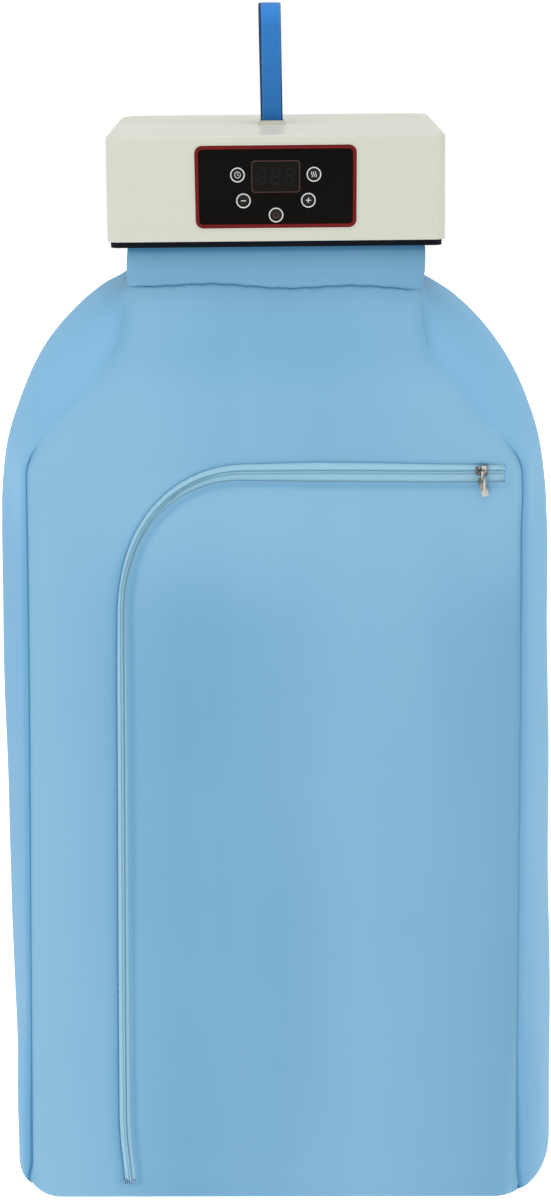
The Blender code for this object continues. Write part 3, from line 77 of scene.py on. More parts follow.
lamp("tall_light", (-1.15, -2.2, -0.75), (-0.2, 0, -0.75), (0.5, 1.9), 13)
lamp("left_light", (-2.6, -0.9, 0.6), (0, 0, -0.6), (1.2, 2.2), 12)
lamp("right_light", (2.6, -0.9, 0.6), (0, 0, -0.6), (1.2, 2.2), 18)
lamp("top_light", (0.0, -0.7, 2.0), (0, 0, -0.2), (1.8, 1.2), 25)


def shown_share(tree):
    """1 for rays from the camera and for those that gloss, metal and glass send on, and 0 for the rest."""
    paths = tree.nodes.new("ShaderNodeLightPath").outputs
    share = paths["Is Camera Ray"]
    for label in ("Is Glossy Ray", "Is Transmission Ray"):
        both = tree.nodes.new("ShaderNodeMath")
        both.operation = "MAXIMUM"
        tree.links.new(share, both.inputs[0])
        tree.links.new(paths[label], both.inputs[1])
        share = both.outputs[0]
    return share


world = bpy.data.worlds.new("studio")
bpy.context.scene.world = world
world.use_nodes = True
tree = world.node_tree
sky = tree.nodes["Background"]
sky.inputs["Color"].default_value = (0.93, 0.96, 1.0, 1)
sky.inputs["Strength"].default_value = 0.57
white = tree.nodes.new("ShaderNodeBackground")
white.inputs["Color"].default_value = (1, 1, 1, 1)
white.inputs["Strength"].default_value = 1.0
pick = tree.nodes.new("ShaderNodeMixShader")
tree.links.new(shown_share(tree), pick.inputs["Fac"])
tree.links.new(sky.outputs[0], pick.inputs[1])
tree.links.new(white.outputs[0], pick.inputs[2])
tree.links.new(pick.outputs[0], tree.nodes["World Output"].inputs["Surface"])

floor_mesh = bpy.data.meshes.new("floor")
far, floor_z = 9, -1.62
floor_corners = [(-far, -far, floor_z), (far, -far, floor_z), (far, far, floor_z), (-far, far, floor_z)]
floor_mesh.from_pydata(floor_corners, [], [(0, 1, 2, 3)])
floor = bpy.data.objects.new("floor", floor_mesh)
bpy.context.scene.collection.objects.link(floor)
floor_look = bpy.data.materials.new("pale_floor")
floor_look.use_nodes = True
floor_shader = floor_look.node_tree.nodes["Principled BSDF"]
floor_shader.inputs["Base Color"].default_value = (0.97, 0.97, 0.97, 1)
floor_shader.inputs["Roughness"].default_value = 0.9
floor_shader.inputs["Emission Color"].default_value = (1, 1, 1, 1)
floor_glow = floor_look.node_tree.nodes.new("ShaderNodeMath")
floor_glow.operation = "MULTIPLY_ADD"
floor_glow.inputs[1].default_value = 0.55
floor_glow.inputs[2].default_value = 0.34
floor_look.node_tree.links.new(shown_share(floor_look.node_tree), floor_glow.inputs[0])
floor_look.node_tree.links.new(floor_glow.outputs[0], floor_shader.inputs["Emission Strength"])
floor_mesh.materials.append(floor_look)


# Cover: one cream ABS moulding with a fine satin grain, screwed to the tray from below. The collar round
# the strap is part of it. The grain is a shader group that reads Object coordinates and gives a colour,
# a roughness and a height, and every moulded piece has its own values of it.
def wire(tree, kind, props, inputs):
    """One node with its properties set and its inputs set to numbers or linked to other nodes' outputs."""
    made = tree.nodes.new(kind)
    for name, value in props.items():
        setattr(made, name, value)
    for name, value in inputs.items():
        if isinstance(value, bpy.types.NodeSocket):
            tree.links.new(value, made.inputs[name])
        else:
            made.inputs[name].default_value = value
    return made


def group(name, colors, numbers):
    """Empty shader group with its sockets, its Object coordinates and what it is given."""
    made = bpy.data.node_groups.new(name, "ShaderNodeTree")
    for way, kind, labels in (("INPUT", "Color", colors), ("INPUT", "Float", numbers),
                              ("OUTPUT", "Color", ["Color"]), ("OUTPUT", "Float", ["Roughness", "Height"])):
        for label in labels:
            made.interface.new_socket(label, in_out=way, socket_type=f"NodeSocket{kind}")
    place = made.nodes.new("ShaderNodeTexCoord").outputs["Object"]
    return made, place, made.nodes.new("NodeGroupInput").outputs


def give(tree, color, roughness, height):
    """Wire a group's three results to its end node."""
    end = tree.nodes.new("NodeGroupOutput").inputs
    for label, value in (("Color", color), ("Roughness", roughness), ("Height", height)):
        tree.links.new(value, end[label])
    return tree


def noise(tree, place, scale, detail=2.0):
    """Noise value at a place, with features one over scale across."""
    values = {"Vector": place, "Scale": scale, "Detail": detail}
    return wire(tree, "ShaderNodeTexNoise", {}, values).outputs[0]


def stretched(tree, place, sizes):
    """Coordinates multiplied along each axis."""
    return wire(tree, "ShaderNodeVectorMath", {"operation": "MULTIPLY"}, {0: place, 1: sizes}).outputs[0]


def calc(tree, operation, *values):
    """Result of one Math node."""
    return wire(tree, "ShaderNodeMath", {"operation": operation}, dict(enumerate(values))).outputs[0]


def ranged(tree, value, start, stop, low, high):
    """Value carried from start and stop to low and high, and held there."""
    return wire(tree, "ShaderNodeMapRange", {}, {0: value, 1: start, 2: stop, 3: low, 4: high}).outputs[0]


def mixed(tree, share, first, second):
    """Colour between two others."""
    return wire(tree, "ShaderNodeMix", {"data_type": "RGBA"}, {0: share, 6: first, 7: second}).outputs[2]


def moulded_group():
    """Moulded plastic: a spark-eroded grain, faint flow marks, and dust in the roughness."""
    tree, place, given = group("moulded", ["Color", "Mark Color"], ["Roughness", "Grain"])
    flow = noise(tree, stretched(tree, place, (1, 1, 2.4)), 9.0, 3.0)
    color = mixed(tree, ranged(tree, flow, 0.35, 0.75, 0.0, 0.5), given["Color"], given["Mark Color"])
    roughness = calc(tree, "ADD", given["Roughness"], calc(tree, "MULTIPLY_ADD", flow, 0.14, -0.07))
    return give(tree, color, roughness, noise(tree, place, given["Grain"], 3.0))


looks = {"moulded": moulded_group()}


def finish(name, kind, values, bump, specular=0.5, more=None):
    """Material from one shared group; bump is in metres, specular and more are set on the shader itself."""
    made = bpy.data.materials.new(name)
    made.use_nodes = True
    tree = made.node_tree
    shader = tree.nodes["Principled BSDF"]
    for label, value in {"Specular IOR Level": specular, **(more or {})}.items():
        shader.inputs[label].default_value = value
    source = tree.nodes.new("ShaderNodeGroup")
    source.node_tree = looks[kind]
    for label, value in values.items():
        source.inputs[label].default_value = (*value, 1.0) if isinstance(value, tuple) else value
    tree.links.new(source.outputs["Color"], shader.inputs["Base Color"])
    tree.links.new(source.outputs["Roughness"], shader.inputs["Roughness"])
    height = source.outputs["Height"]
    relief = wire(tree, "ShaderNodeBump", {}, {"Strength": 1.0, "Distance": bump, "Height": height})
    tree.links.new(relief.outputs[0], shader.inputs["Normal"])
    return made


def plastic(name, color, mark, roughness, grain, bump, specular=0.5, more=None):
    """Finish of moulded plastic, ink or plain yarn."""
    values = {"Color": color, "Mark Color": mark, "Roughness": roughness, "Grain": grain}
    return finish(name, "moulded", values, bump, specular, more)


def dress(material, *nodes):
    """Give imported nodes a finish."""
    for node in nodes:
        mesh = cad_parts[node].data
        mesh.materials.clear()
        mesh.materials.append(material)


cream = plastic("cream_abs", (0.615, 0.605, 0.522), (0.598, 0.590, 0.509), 0.36, 1500.0, 0.000012, 0.08,
                {"Subsurface Weight": 0.04, "Subsurface Radius": (0.004, 0.004, 0.003)})
dress(cream, "top_cover")

# Tray, grilles, power inlet and display: black ABS with a fine grain. The tray closes the cover from below,
# and the grilles sit in its mouth and in the back wall. The tray's black is deeper and bluer than the
# grilles':
# painted shade on the rim under the head, and a painted reflection of the blue cloth.
black = plastic("black_abs", (0.016, 0.018, 0.022), (0.026, 0.028, 0.032), 0.42, 1200.0, 0.000015, 0.4)
dress(black, "outlet_grille", "inlet_grille", "power_inlet", "display_module")
tray_black_painted_shade = plastic("tray_black_abs_painted_shade", (0.003, 0.0045, 0.008), (0.005, 0.007, 0.011), 0.5, 1200.0, 0.000015,
                     0.05)
dress(tray_black_painted_shade, "base_tray")


# Control panel: a gloss black acrylic fascia with a translucent dark red border, a smoked lens over
# the display and five round caps. Rings, symbols and the lens outline are screen printed.
gloss = plastic("gloss_acrylic", (0.0045, 0.0036, 0.0029), (0.007, 0.0058, 0.0048), 0.1, 300.0, 0.000002,
                0.035)
dress(gloss, "control_fascia")
red = plastic("dark_red_acrylic", (0.145, 0.0080, 0.0075), (0.185, 0.013, 0.011), 0.22, 500.0, 0.000003, 0.08,
              {"Coat Weight": 0.02, "Coat Roughness": 0.1})
dress(red, "fascia_trim")
smoked = plastic("smoked_lens", (0.0075, 0.0070, 0.0062), (0.010, 0.009, 0.008), 0.14, 300.0, 0.000002, 0.05)
dress(smoked, "display_window")
cap = plastic("key_cap", (0.010, 0.009, 0.008), (0.016, 0.015, 0.013), 0.26, 900.0, 0.000006, 0.11)
dress(cap, "key_timer", "key_heat", "key_minus", "key_plus", "key_power")
white_ink = plastic("white_ink", (0.62, 0.62, 0.58), (0.50, 0.50, 0.47), 0.5, 2500.0, 0.000004)
red_ink = plastic("red_ink", (0.080, 0.015, 0.014), (0.060, 0.012, 0.011), 0.45, 2500.0, 0.000004)
dim_ink = plastic("unlit_segments", (0.0125, 0.01, 0.009), (0.0105, 0.0085, 0.0075), 0.3, 2500.0, 0.000002,
                  0.08)


def square_to(along):
    """Directions in a plane, turned a quarter to the left."""
    return np.stack([-along[..., 1], along[..., 0]], axis=-1)


def unit(rows):
    """Vectors brought to length 1."""
    return rows / np.linalg.norm(rows, axis=-1, keepdims=True)


def solid(name, verts, faces, material):
    """Object from points and faces, without loose points and with its faces turned outwards."""
    mesh = bpy.data.meshes.new(name)
    mesh.from_pydata(verts, [], faces)
    bm = bmesh.new()
    bm.from_mesh(mesh)
    bmesh.ops.delete(bm, geom=[v for v in bm.verts if not v.link_faces], context="VERTS")
    bmesh.ops.recalc_face_normals(bm, faces=bm.faces)
    bm.to_mesh(mesh)
    bm.free()
    mesh.materials.append(material)
    made = bpy.data.objects.new(name, mesh)
    bpy.context.scene.collection.objects.link(made)
    return made


def arc(radius, start, stop, steps, center=(0.0, 0.0)):
    """Points (cx + r cos a, cz + r sin a) with a from start to stop in degrees."""
    turn = np.radians(np.linspace(start, stop, steps + 1))
    return np.stack([center[0] + radius * np.cos(turn), center[1] + radius * np.sin(turn)], axis=-1)


ink_thick, ink_sunk = 0.00003, 0.00002


def print_lines(name, lines, center, depth, material):
    """Ink lines on an upright face: each line is (points, width, closed).

    A point's two sides are p + n w/2 and p - n w/2, with n square to the mean of its two runs. depth(r) is
    the face's place along Y at a distance r from the centre.
    """
    verts, faces = [], []
    for points, width, closed in lines:
        points = np.asarray(points, float)
        ahead = np.roll(points, -1, axis=0) - points
        ahead /= np.linalg.norm(ahead, axis=1, keepdims=True) + 1e-12
        behind = np.roll(ahead, 1, axis=0)
        if not closed:
            ahead[-1], behind[0] = behind[-1], ahead[0]
        mean = unit(ahead + behind)
        square = square_to(mean)
        spread = width / 2 / np.maximum((mean * ahead).sum(axis=1), 0.5)[:, None]
        count, base = len(points), len(verts)
        sides = [points + square * spread, points - square * spread]
        for layer in (ink_thick, -ink_sunk):
            for side in sides:
                y = depth(np.linalg.norm(side, axis=1)) - layer
                verts += np.stack([center[0] + side[:, 0], y, center[1] + side[:, 1]], axis=-1).tolist()
        for i in range(count if closed else count - 1):
            j = (i + 1) % count
            a, b, c, d = base, base + count, base + 2 * count, base + 3 * count
            faces += [(a + i, a + j, b + j, b + i), (c + i, d + i, d + j, c + j),
                      (a + i, c + i, c + j, a + j), (b + i, b + j, d + j, d + i)]
        if not closed:
            for i in (0, count - 1):
                faces.append(tuple(base + k * count + i for k in (0, 1, 3, 2)))
    return solid(name, verts, faces, material)


def key_face(r):
    """Place along Y of a key's dished face at a distance r from its middle."""
    return -0.1045 + 0.0003 * np.clip((0.0067 - r) / 0.0032, 0, 1)


ring = (arc(0.0060, 0, 352.5, 47), 0.0010, True)
clock = [(arc(0.0026, 0, 345, 23), 0.00055, True), ([(0, 0.0016), (0, 0), (0.0012, -0.0007)], 0.0005, False)]
wave_x, wave_z = 0.0005 * np.sin(np.linspace(0, 6.28, 13)), np.linspace(-0.0024, 0.0024, 13)
waves = [(np.stack([k + wave_x, wave_z], axis=-1), 0.0006, False) for k in (-0.0018, 0.0, 0.0018)]
minus = [([(-0.0022, 0), (0.0022, 0)], 0.0008, False)]
plus = [([(-0.0023, 0), (0.0023, 0)], 0.0008, False), ([(0, 0.0005), (0, 0.0023)], 0.0008, False),
        ([(0, -0.0005), (0, -0.0023)], 0.0008, False)]
power = [(arc(0.0024, 125, 415, 24), 0.0006, False), ([(0, 0.0007), (0, 0.0031)], 0.0006, False)]
key_marks = {"timer": (-0.034, -0.1415, clock, white_ink), "heat": (0.034, -0.1415, waves, white_ink),
             "minus": (-0.029, -0.1642, minus, white_ink), "plus": (0.029, -0.1642, plus, white_ink),
             "power": (0.0, -0.1770, power, red_ink)}
for key, (x, z, symbol, ink) in key_marks.items():
    for part, lines, material in (("ring", [ring], white_ink), ("symbol", symbol, ink)):
        mark = print_lines(f"key_{key}_{part}", lines, (x, z), key_face, material)
        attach(mark, f"{key}_key")


def rounded_line(width, height, radius, steps=6):
    """Closed outline of a rectangle with round corners about the origin."""
    corners = [arc(radius, 90 * k, 90 * k + 90, steps,
                   (sx * (width / 2 - radius), sz * (height / 2 - radius)))
               for k, (sx, sz) in enumerate(((1, 1), (-1, 1), (-1, -1), (1, -1)))]
    return np.concatenate(corners)


def fascia_face(r):
    """The fascia's flat front."""
    return np.full_like(r, -0.1041)


outline = print_lines("lens_outline", [(rounded_line(0.0426, 0.0272, 0.0026), 0.0005, True)], (0, -0.1432),
                      fascia_face, red_ink)
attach(outline, "root")
segments = []
for digit in (-0.0125, 0.0, 0.0125):
    w, h, lean = 0.0034, 0.0068, 0.0008
    bars = [((-w + 0.0006, k * h), (w - 0.0006, k * h)) for k in (-1, 0, 1)]
    bars += [((sx * w, sz * 0.0007), (sx * w, sz * (h - 0.0007))) for sx in (-1, 1) for sz in (-1, 1)]
    segments += [([(digit + x + lean * z / h, z) for x, z in bar], 0.0011, False) for bar in bars]
digits = print_lines("unlit_digits", segments, (0, -0.143), fascia_face, dim_ink)
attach(digits, "root")


# Boards, blower, heater, fasteners and the hanger bail: green circuit boards on stand-offs, plated steel,
# a zinc motor can, rolled aluminium fins, tinned brass pins and two plain plastics. The slider, link and
# pull of the zip are nickel plated.
def split(tree, vector):
    """The three parts of a vector."""
    return wire(tree, "ShaderNodeSeparateXYZ", {}, {0: vector}).outputs


def board_group():
    """Solder mask with lighter traces below it, and dark parts above a height along one axis."""
    colors = ["Color", "Mark Color", "Part Color"]
    tree, place, given = group("board", colors, ["Roughness", "Start", "Upright"])
    parts = split(tree, place)
    up = calc(tree, "ADD", parts[1], parts[2])
    flat = wire(tree, "ShaderNodeCombineXYZ", {}, {0: parts[0], 1: up}).outputs[0]
    traces = wire(tree, "ShaderNodeTexBrick", {}, {"Vector": flat, "Scale": 260.0, "Mortar Size": 0.09,
                                                   "Color1": (0, 0, 0, 1), "Color2": (0, 0, 0, 1),
                                                   "Mortar": (1, 1, 1, 1)}).outputs["Fac"]
    patches = calc(tree, "GREATER_THAN", noise(tree, place, 90.0, 1.0), 0.52)
    mask = mixed(tree, calc(tree, "MULTIPLY", traces, patches), given["Color"], given["Mark Color"])
    along = calc(tree, "ADD", calc(tree, "MULTIPLY", parts[2], given["Upright"]),
                 calc(tree, "MULTIPLY", parts[1], calc(tree, "SUBTRACT", given["Upright"], 1.0)))
    above = calc(tree, "GREATER_THAN", along, given["Start"])
    return give(tree, mixed(tree, above, mask, given["Part Color"]), given["Roughness"], traces)


def metal_group():
    """Metal drawn or brushed along one axis, with long fine scratches and slow changes of tone.

    The last input darkens a small zip part with painted reflections and painted shade: in spots, and on the
    sides, which don't face along Y.
    """
    tree, place, given = group("metal", ["Color", "Mark Color"], ["Roughness", "Grain", "Painted Reflection Shade"])
    long_marks = noise(tree, stretched(tree, place, (1, 1, 0.06)), given["Grain"], 3.0)
    share = calc(tree, "MULTIPLY", long_marks, noise(tree, place, 60.0))
    normal = split(tree, tree.nodes.new("ShaderNodeTexCoord").outputs["Normal"])
    turned = calc(tree, "SUBTRACT", 1.0, calc(tree, "ABSOLUTE", normal[1]))
    painted_dark_sides, painted_dark_spots = ranged(tree, turned, 0.30, 0.62, 0.0, 1.0), ranged(tree, share, 0.21, 0.33, 0.0, 0.9)
    painted_reflection_share = calc(tree, "MULTIPLY", calc(tree, "MAXIMUM", painted_dark_sides, painted_dark_spots), given["Painted Reflection Shade"])
    share = calc(tree, "MAXIMUM", share, painted_reflection_share)
    roughness = calc(tree, "MULTIPLY_ADD", long_marks, 0.18, calc(tree, "SUBTRACT", given["Roughness"], 0.09))
    return give(tree, mixed(tree, share, given["Color"], given["Mark Color"]), roughness, long_marks)


looks["board"] = board_group()
looks["metal"] = metal_group()


def metal(name, color, mark, roughness, grain, bump, painted_reflection_shade=0.0):
    """Finish of bare or plated metal."""
    values = {"Color": color, "Mark Color": mark, "Roughness": roughness, "Grain": grain}
    return finish(name, "metal", {**values, "Painted Reflection Shade": painted_reflection_shade}, bump, more={"Metallic": 1.0})


for name, node, part_color, start, upright in (
        ("power_circuit", "power_board", (0.03, 0.035, 0.05), -0.1944, 1.0),
        ("key_circuit", "control_board", (0.10, 0.10, 0.11), 0.0923, 0.0)):
    circuit = finish(name, "board", {"Color": (0.012, 0.10, 0.035), "Mark Color": (0.03, 0.17, 0.06),
                                     "Part Color": part_color, "Roughness": 0.38, "Start": start,
                                     "Upright": upright}, 0.00002)
    dress(circuit, node)
steel = metal("plated_steel", (0.56, 0.56, 0.58), (0.40, 0.40, 0.43), 0.28, 900.0, 0.000006)
dress(steel, "strap_bar", "motor_shaft", "hanger_bail", "bail_lug_front", "bail_lug_back", "cover_screw_1",
      "cover_screw_2", "cover_screw_3", "cover_screw_4")
motor_can = metal("zinc_motor_can", (0.42, 0.43, 0.45), (0.30, 0.31, 0.33), 0.42, 300.0, 0.00001)
dress(motor_can, "blower_motor")
# Nickel: its dark spots and darker sides are painted reflections and painted shade.
nickel = metal("nickel_zip_metal", (0.52, 0.50, 0.455), (0.05, 0.05, 0.045), 0.20, 430.0, 0.000008,
               painted_reflection_shade=1.0)
dress(nickel, "zip_slider", "zip_link", "zip_pull")
tinned = metal("tinned_brass", (0.66, 0.62, 0.50), (0.50, 0.46, 0.36), 0.25, 1500.0, 0.000004)
dress(tinned, "inlet_pin_line", "inlet_pin_neutral", "inlet_pin_earth")
alloy = metal("rolled_aluminium", (0.74, 0.75, 0.77), (0.58, 0.59, 0.61), 0.34, 700.0, 0.00001)
dress(alloy, "heater_core", "thermostat")
nylon = plastic("glass_filled_nylon", (0.70, 0.69, 0.65), (0.62, 0.60, 0.55), 0.52, 700.0, 0.00003)
dress(nylon, "heater_frame")
fan_grey = plastic("grey_polypropylene", (0.17, 0.175, 0.185), (0.21, 0.215, 0.225), 0.40, 600.0, 0.00002)
dress(fan_grey, "blower_housing", "impeller")


# Bag: light blue coated polyester, cut as a front, a back, two side panels and a base, and sewn with
# narrow seams turned inwards. It hangs from the neck, so its panels bulge and the foot's corners draw up.
seam_z, zip_z, foot_z = -0.242, -0.405, -1.196
neck_half, neck_depth, bag_depth = 0.135, 0.090, 0.141
fabric = 0.0008
foot_roll = 0.006
tuck_share = 0.7


def ease(t):
    """Smooth step t^2 (3 - 2 t) of a value held between 0 and 1."""
    t = np.clip(t, 0, 1)
    return t * t * (3 - 2 * t)


def bell(value, middle, width):
    """exp(-((value - middle) / width)^2)."""
    return np.exp(-(((value - middle) / width) ** 2))


def crease_at(z, side):
    """Half width of the front: .135 + .0065 drop / .05 held at 1 + w ease((drop - .042) / .124) + .028 flare.

    w is .0883 on the right and .0895 on the left. Hand sewing draws the right seam in by .008 and lets the
    left one out by .004 on the shoulder, and lets the right one out by .0016 where it turns down.
    """
    drop = np.clip(seam_z - z, 0, None)
    flare = np.clip((seam_z - 0.161 - z) / 0.793, 0, 1)
    drawn = np.where(side > 0, 0.008 * bell(z, -0.360, 0.022) - 0.0016 * bell(z, -0.425, 0.025),
                     -0.004 * bell(z, -0.308, 0.016))
    slow = 0.0065 * np.clip(drop / 0.05, 0, 1)
    wide = np.where(side > 0, 0.0883, 0.0895) * ease((drop - 0.042) / 0.124)
    return neck_half + slow + wide + 0.028 * flare - drawn


def depth_at(z):
    """Distance of the front and the back from the middle: .090 + .051 sin(pi/2 drop / .150)."""
    return neck_depth + 0.051 * np.sin(np.pi / 2 * np.clip((seam_z - z) / 0.150, 0, 1))


def side_at(z, side):
    """Half width at mid depth: an arch of radius .271, then a flare of .026.

    The first millimetres below the neck seam ease in: .135 + (arch + full - .135) (1 - exp(-drop / .0045)),
    with full the few millimetres by which either side's cloth fills out (over 0) or is drawn in (under 0).
    """
    drop = np.clip(seam_z - z, 0, None)
    arch = np.sqrt(0.271 ** 2 - np.clip(0.231 - drop, 0, 0.271) ** 2)
    flare = 0.026 * np.clip((drop - 0.231) / 0.723, 0, 1)
    left = 0.0033 * bell(z, -0.305, 0.040) - 0.0050 * bell(z, -0.244, 0.012) - 0.0019 * bell(z, -0.437, 0.045)
    right = 0.0012 * bell(z, -0.256, 0.008) - 0.0027 * bell(z, -0.430, 0.050)
    drawn = 0.0010 * ease((-0.80 - z) / 0.08) + 0.0030 * ease((-0.98 - z) / 0.16)
    full = np.where(side < 0, left - drawn, right - 0.0008)
    return neck_half + (arch - neck_half + full) * (1 - np.exp(-drop / 0.0045)) + flare


def corner_at(z):
    """Radius of the corner between front and side: .0075 at the neck seam, and none from .058 below it."""
    return 0.0075 * ease((z + 0.300) / 0.050)


def corner_fade(x):
    """Share of the neck seam's groove and stitches, which run flat round the front corners."""
    return 1 - bell(np.abs(x), 0.1325, 0.0055)


def corner_dip(gap, z):
    """How far the rounded corner falls back at a distance from the side seam: R - sqrt(R^2 - (R - gap)^2)."""
    radius = corner_at(z)
    inside = np.clip(radius - gap, 0, radius)
    return radius - np.sqrt(radius ** 2 - inside ** 2)


def straight_share(z):
    """0 where a side seam runs over the shoulder, 1 where it runs straight down, from z = -.402."""
    return ease((-0.372 - z) / 0.030)


def seam_tuck(z):
    """How far the side seams are drawn in: a shallow valley over the shoulder, deeper where they run down."""
    return (0.0017 + 0.0027 * straight_share(z)) * ease((z - foot_z) / 0.032) * ease((seam_z - z) / 0.03)


def tuck_width(z):
    """Width over which a side seam draws the cloth in: .012 on the shoulder and .0055 below."""
    return 0.0120 - 0.0065 * straight_share(z)


def seam_stitch_and_shade(gap, z):
    """Stitch tone and painted shade at a distance from a side seam: painted soft shade in a valley over the
    shoulder, and below it a stitched line with a halo of painted shade.
    """
    straight = ease((-0.370 - z) / 0.030)
    line = straight * (bell(gap, 0, 0.0013) + 0.30 * bell(gap, 0, 0.0060))
    painted_valley_shade = (0.07 + 0.15 * ease((z + 0.325) / 0.05)) * bell(gap, 0, 0.0095) * ease((seam_z - z) / 0.03)
    return line + (1 - straight) * painted_valley_shade


def seam_pull(z, side):
    """Strength of a side seam's stitch tone and painted shade: 1 on the left, and on the right .82, falling
    to .52 below z = -.62.
    """
    return np.where(side > 0, 0.82 - 0.30 * ease((-0.47 - z) / 0.15), 1.0)


def neck_rim(z):
    """Depth of the groove that the neck's seam pulls in."""
    return 0.0016 * bell(z, seam_z, 0.0012)


def neck_line(z):
    """Tone of the neck seam's stitches, 1 on the seam."""
    return bell(z, seam_z, 0.0009)


def side_share(y, z, side):
    """Side panel's rise from the seam (0) to mid depth (1): a quarter sine, fuller at the right foot."""
    share = np.sin(np.pi / 2 * (1 - np.abs(y) / (depth_at(z) - corner_at(z))))
    full = (0.45 if side > 0 else 0.35) * ease((-0.95 - z) / 0.18)
    return np.clip(share, 0, 1) ** (1 - full)


def hang(x, y, z):
    """Places after the foot's roll, the sway, the neck seam's waves and the drawn-up corners.

    Roll: plan times 1 - .03 (1 - sqrt(1 - (1 - h/.006)^2)), h above the foot. Sway: x + s(y) ease(), with s =
    .0045 + .0223 y - .385 y^2. Corners: z + R (1 - sqrt(1 - u^2)), with u the share of a round of radius R.
    """
    height = np.clip((z - foot_z) / foot_roll, 0, 1)
    plan = 1 - 0.03 * (1 - np.sqrt(1 - (1 - height) ** 2))
    x, y = x * plan, y * plan
    left = (x < 0) & (y < 0)
    start, radius = np.where(left, 0.2265, 0.2312), np.where(left, 0.0330, 0.0418)
    rise = np.where(left, 0.0355, 0.045)
    round_share = np.clip((np.abs(x) - start) / radius, 0, np.where(left, 0.864, 0.569))
    at_corner = bell(np.abs(y), bag_depth, 0.05) * ease((-1.05 - z) / 0.146)
    lift = rise * (1 - np.sqrt(1 - round_share ** 2)) * at_corner
    low = ease((-0.45 - z) / 0.75)
    sway = low * (0.0045 + 0.0223 * y - 0.385 * y * y)
    level = -0.0095 * (x + 0.22) * low
    reach = np.where(z > seam_z, ease((-0.2058 - z) / 0.0362), 1)
    shift = (0.0022 * ease((z + 0.29) / 0.048) - 0.0038) * reach
    waves = -0.0020 - 0.022 * x + 0.0016 * np.cos(48.3 * (x + 0.056))
    waves = waves + 0.0003 * np.sin(299 * x) + 0.0002 * np.sin(757 * x)
    waves = waves * reach * np.where(z > seam_z, 1, bell(z, seam_z, 0.03))
    return np.stack([x + sway + shift, y, z + lift + level + waves], axis=-1)


tiny = 1e-12


def cloth_sheet(name, points, seam, painted_shade, material, thick=fabric, turn=1, closed=False):
    """Closed sheet from a grid of its outer points, with each inner point at p - t n.

    n is the unit normal, the cross product of the grid's two runs times turn. The seam values give the
    stitches' tone and painted shade along seams and hems, and the painted shade values paint shade over the
    cloth.
    """
    if closed:
        padded_grid = np.concatenate([points[:, -2:-1], points, points[:, 1:2]], axis=1)
        across = np.gradient(padded_grid, axis=1)[:, 1:-1]
    else:
        across = np.gradient(points, axis=1)
    normal = turn * np.cross(np.gradient(points, axis=0), across)
    normal /= np.linalg.norm(normal, axis=-1, keepdims=True) + tiny
    rows, columns = points.shape[:2]
    verts = np.concatenate([points.reshape(-1, 3), (points - thick * normal).reshape(-1, 3)])
    index = np.arange(rows * columns).reshape(rows, columns)
    quads = np.stack([index[:-1, :-1], index[1:, :-1], index[1:, 1:], index[:-1, 1:]], axis=-1).reshape(-1, 4)
    rim = np.concatenate([index[0, :], index[1:, -1], index[-1, -2::-1], index[-2:0:-1, 0]])
    after = np.roll(rim, -1)
    sides = np.stack([rim, after, after + index.size, rim + index.size], axis=-1)
    if turn < 0:
        quads, sides = quads[:, ::-1], sides[:, ::-1]
    faces = np.concatenate([quads, quads[:, ::-1] + index.size, sides])
    mesh = bpy.data.meshes.new(name)
    mesh.vertices.add(len(verts))
    mesh.vertices.foreach_set("co", verts.ravel())
    mesh.loops.add(faces.size)
    mesh.loops.foreach_set("vertex_index", faces.ravel().astype(np.int32))
    mesh.polygons.add(len(faces))
    mesh.polygons.foreach_set("loop_start", np.arange(0, faces.size, 4, dtype=np.int32))
    mesh.update(calc_edges=True)
    mesh.validate()
    for label, tint in (("seam", seam), ("painted_shade", painted_shade)):
        tint = np.tile(np.clip(tint + 0 * points[..., 0], 0, 1).ravel(), 2)
        mesh.attributes.new(label, "FLOAT", "POINT").data.foreach_set("value", tint.astype(np.float32))
    mesh.shade_smooth()
    mesh.set_sharp_from_angle(angle=math.radians(50))
    mesh.materials.append(material)
    made = bpy.data.objects.new(name, mesh)
    bpy.context.scene.collection.objects.link(made)
    return made


def attribute(tree, name):
    """Value that the mesh carries at each point under a name."""
    return wire(tree, "ShaderNodeAttribute", {"attribute_name": name}, {}).outputs["Fac"]


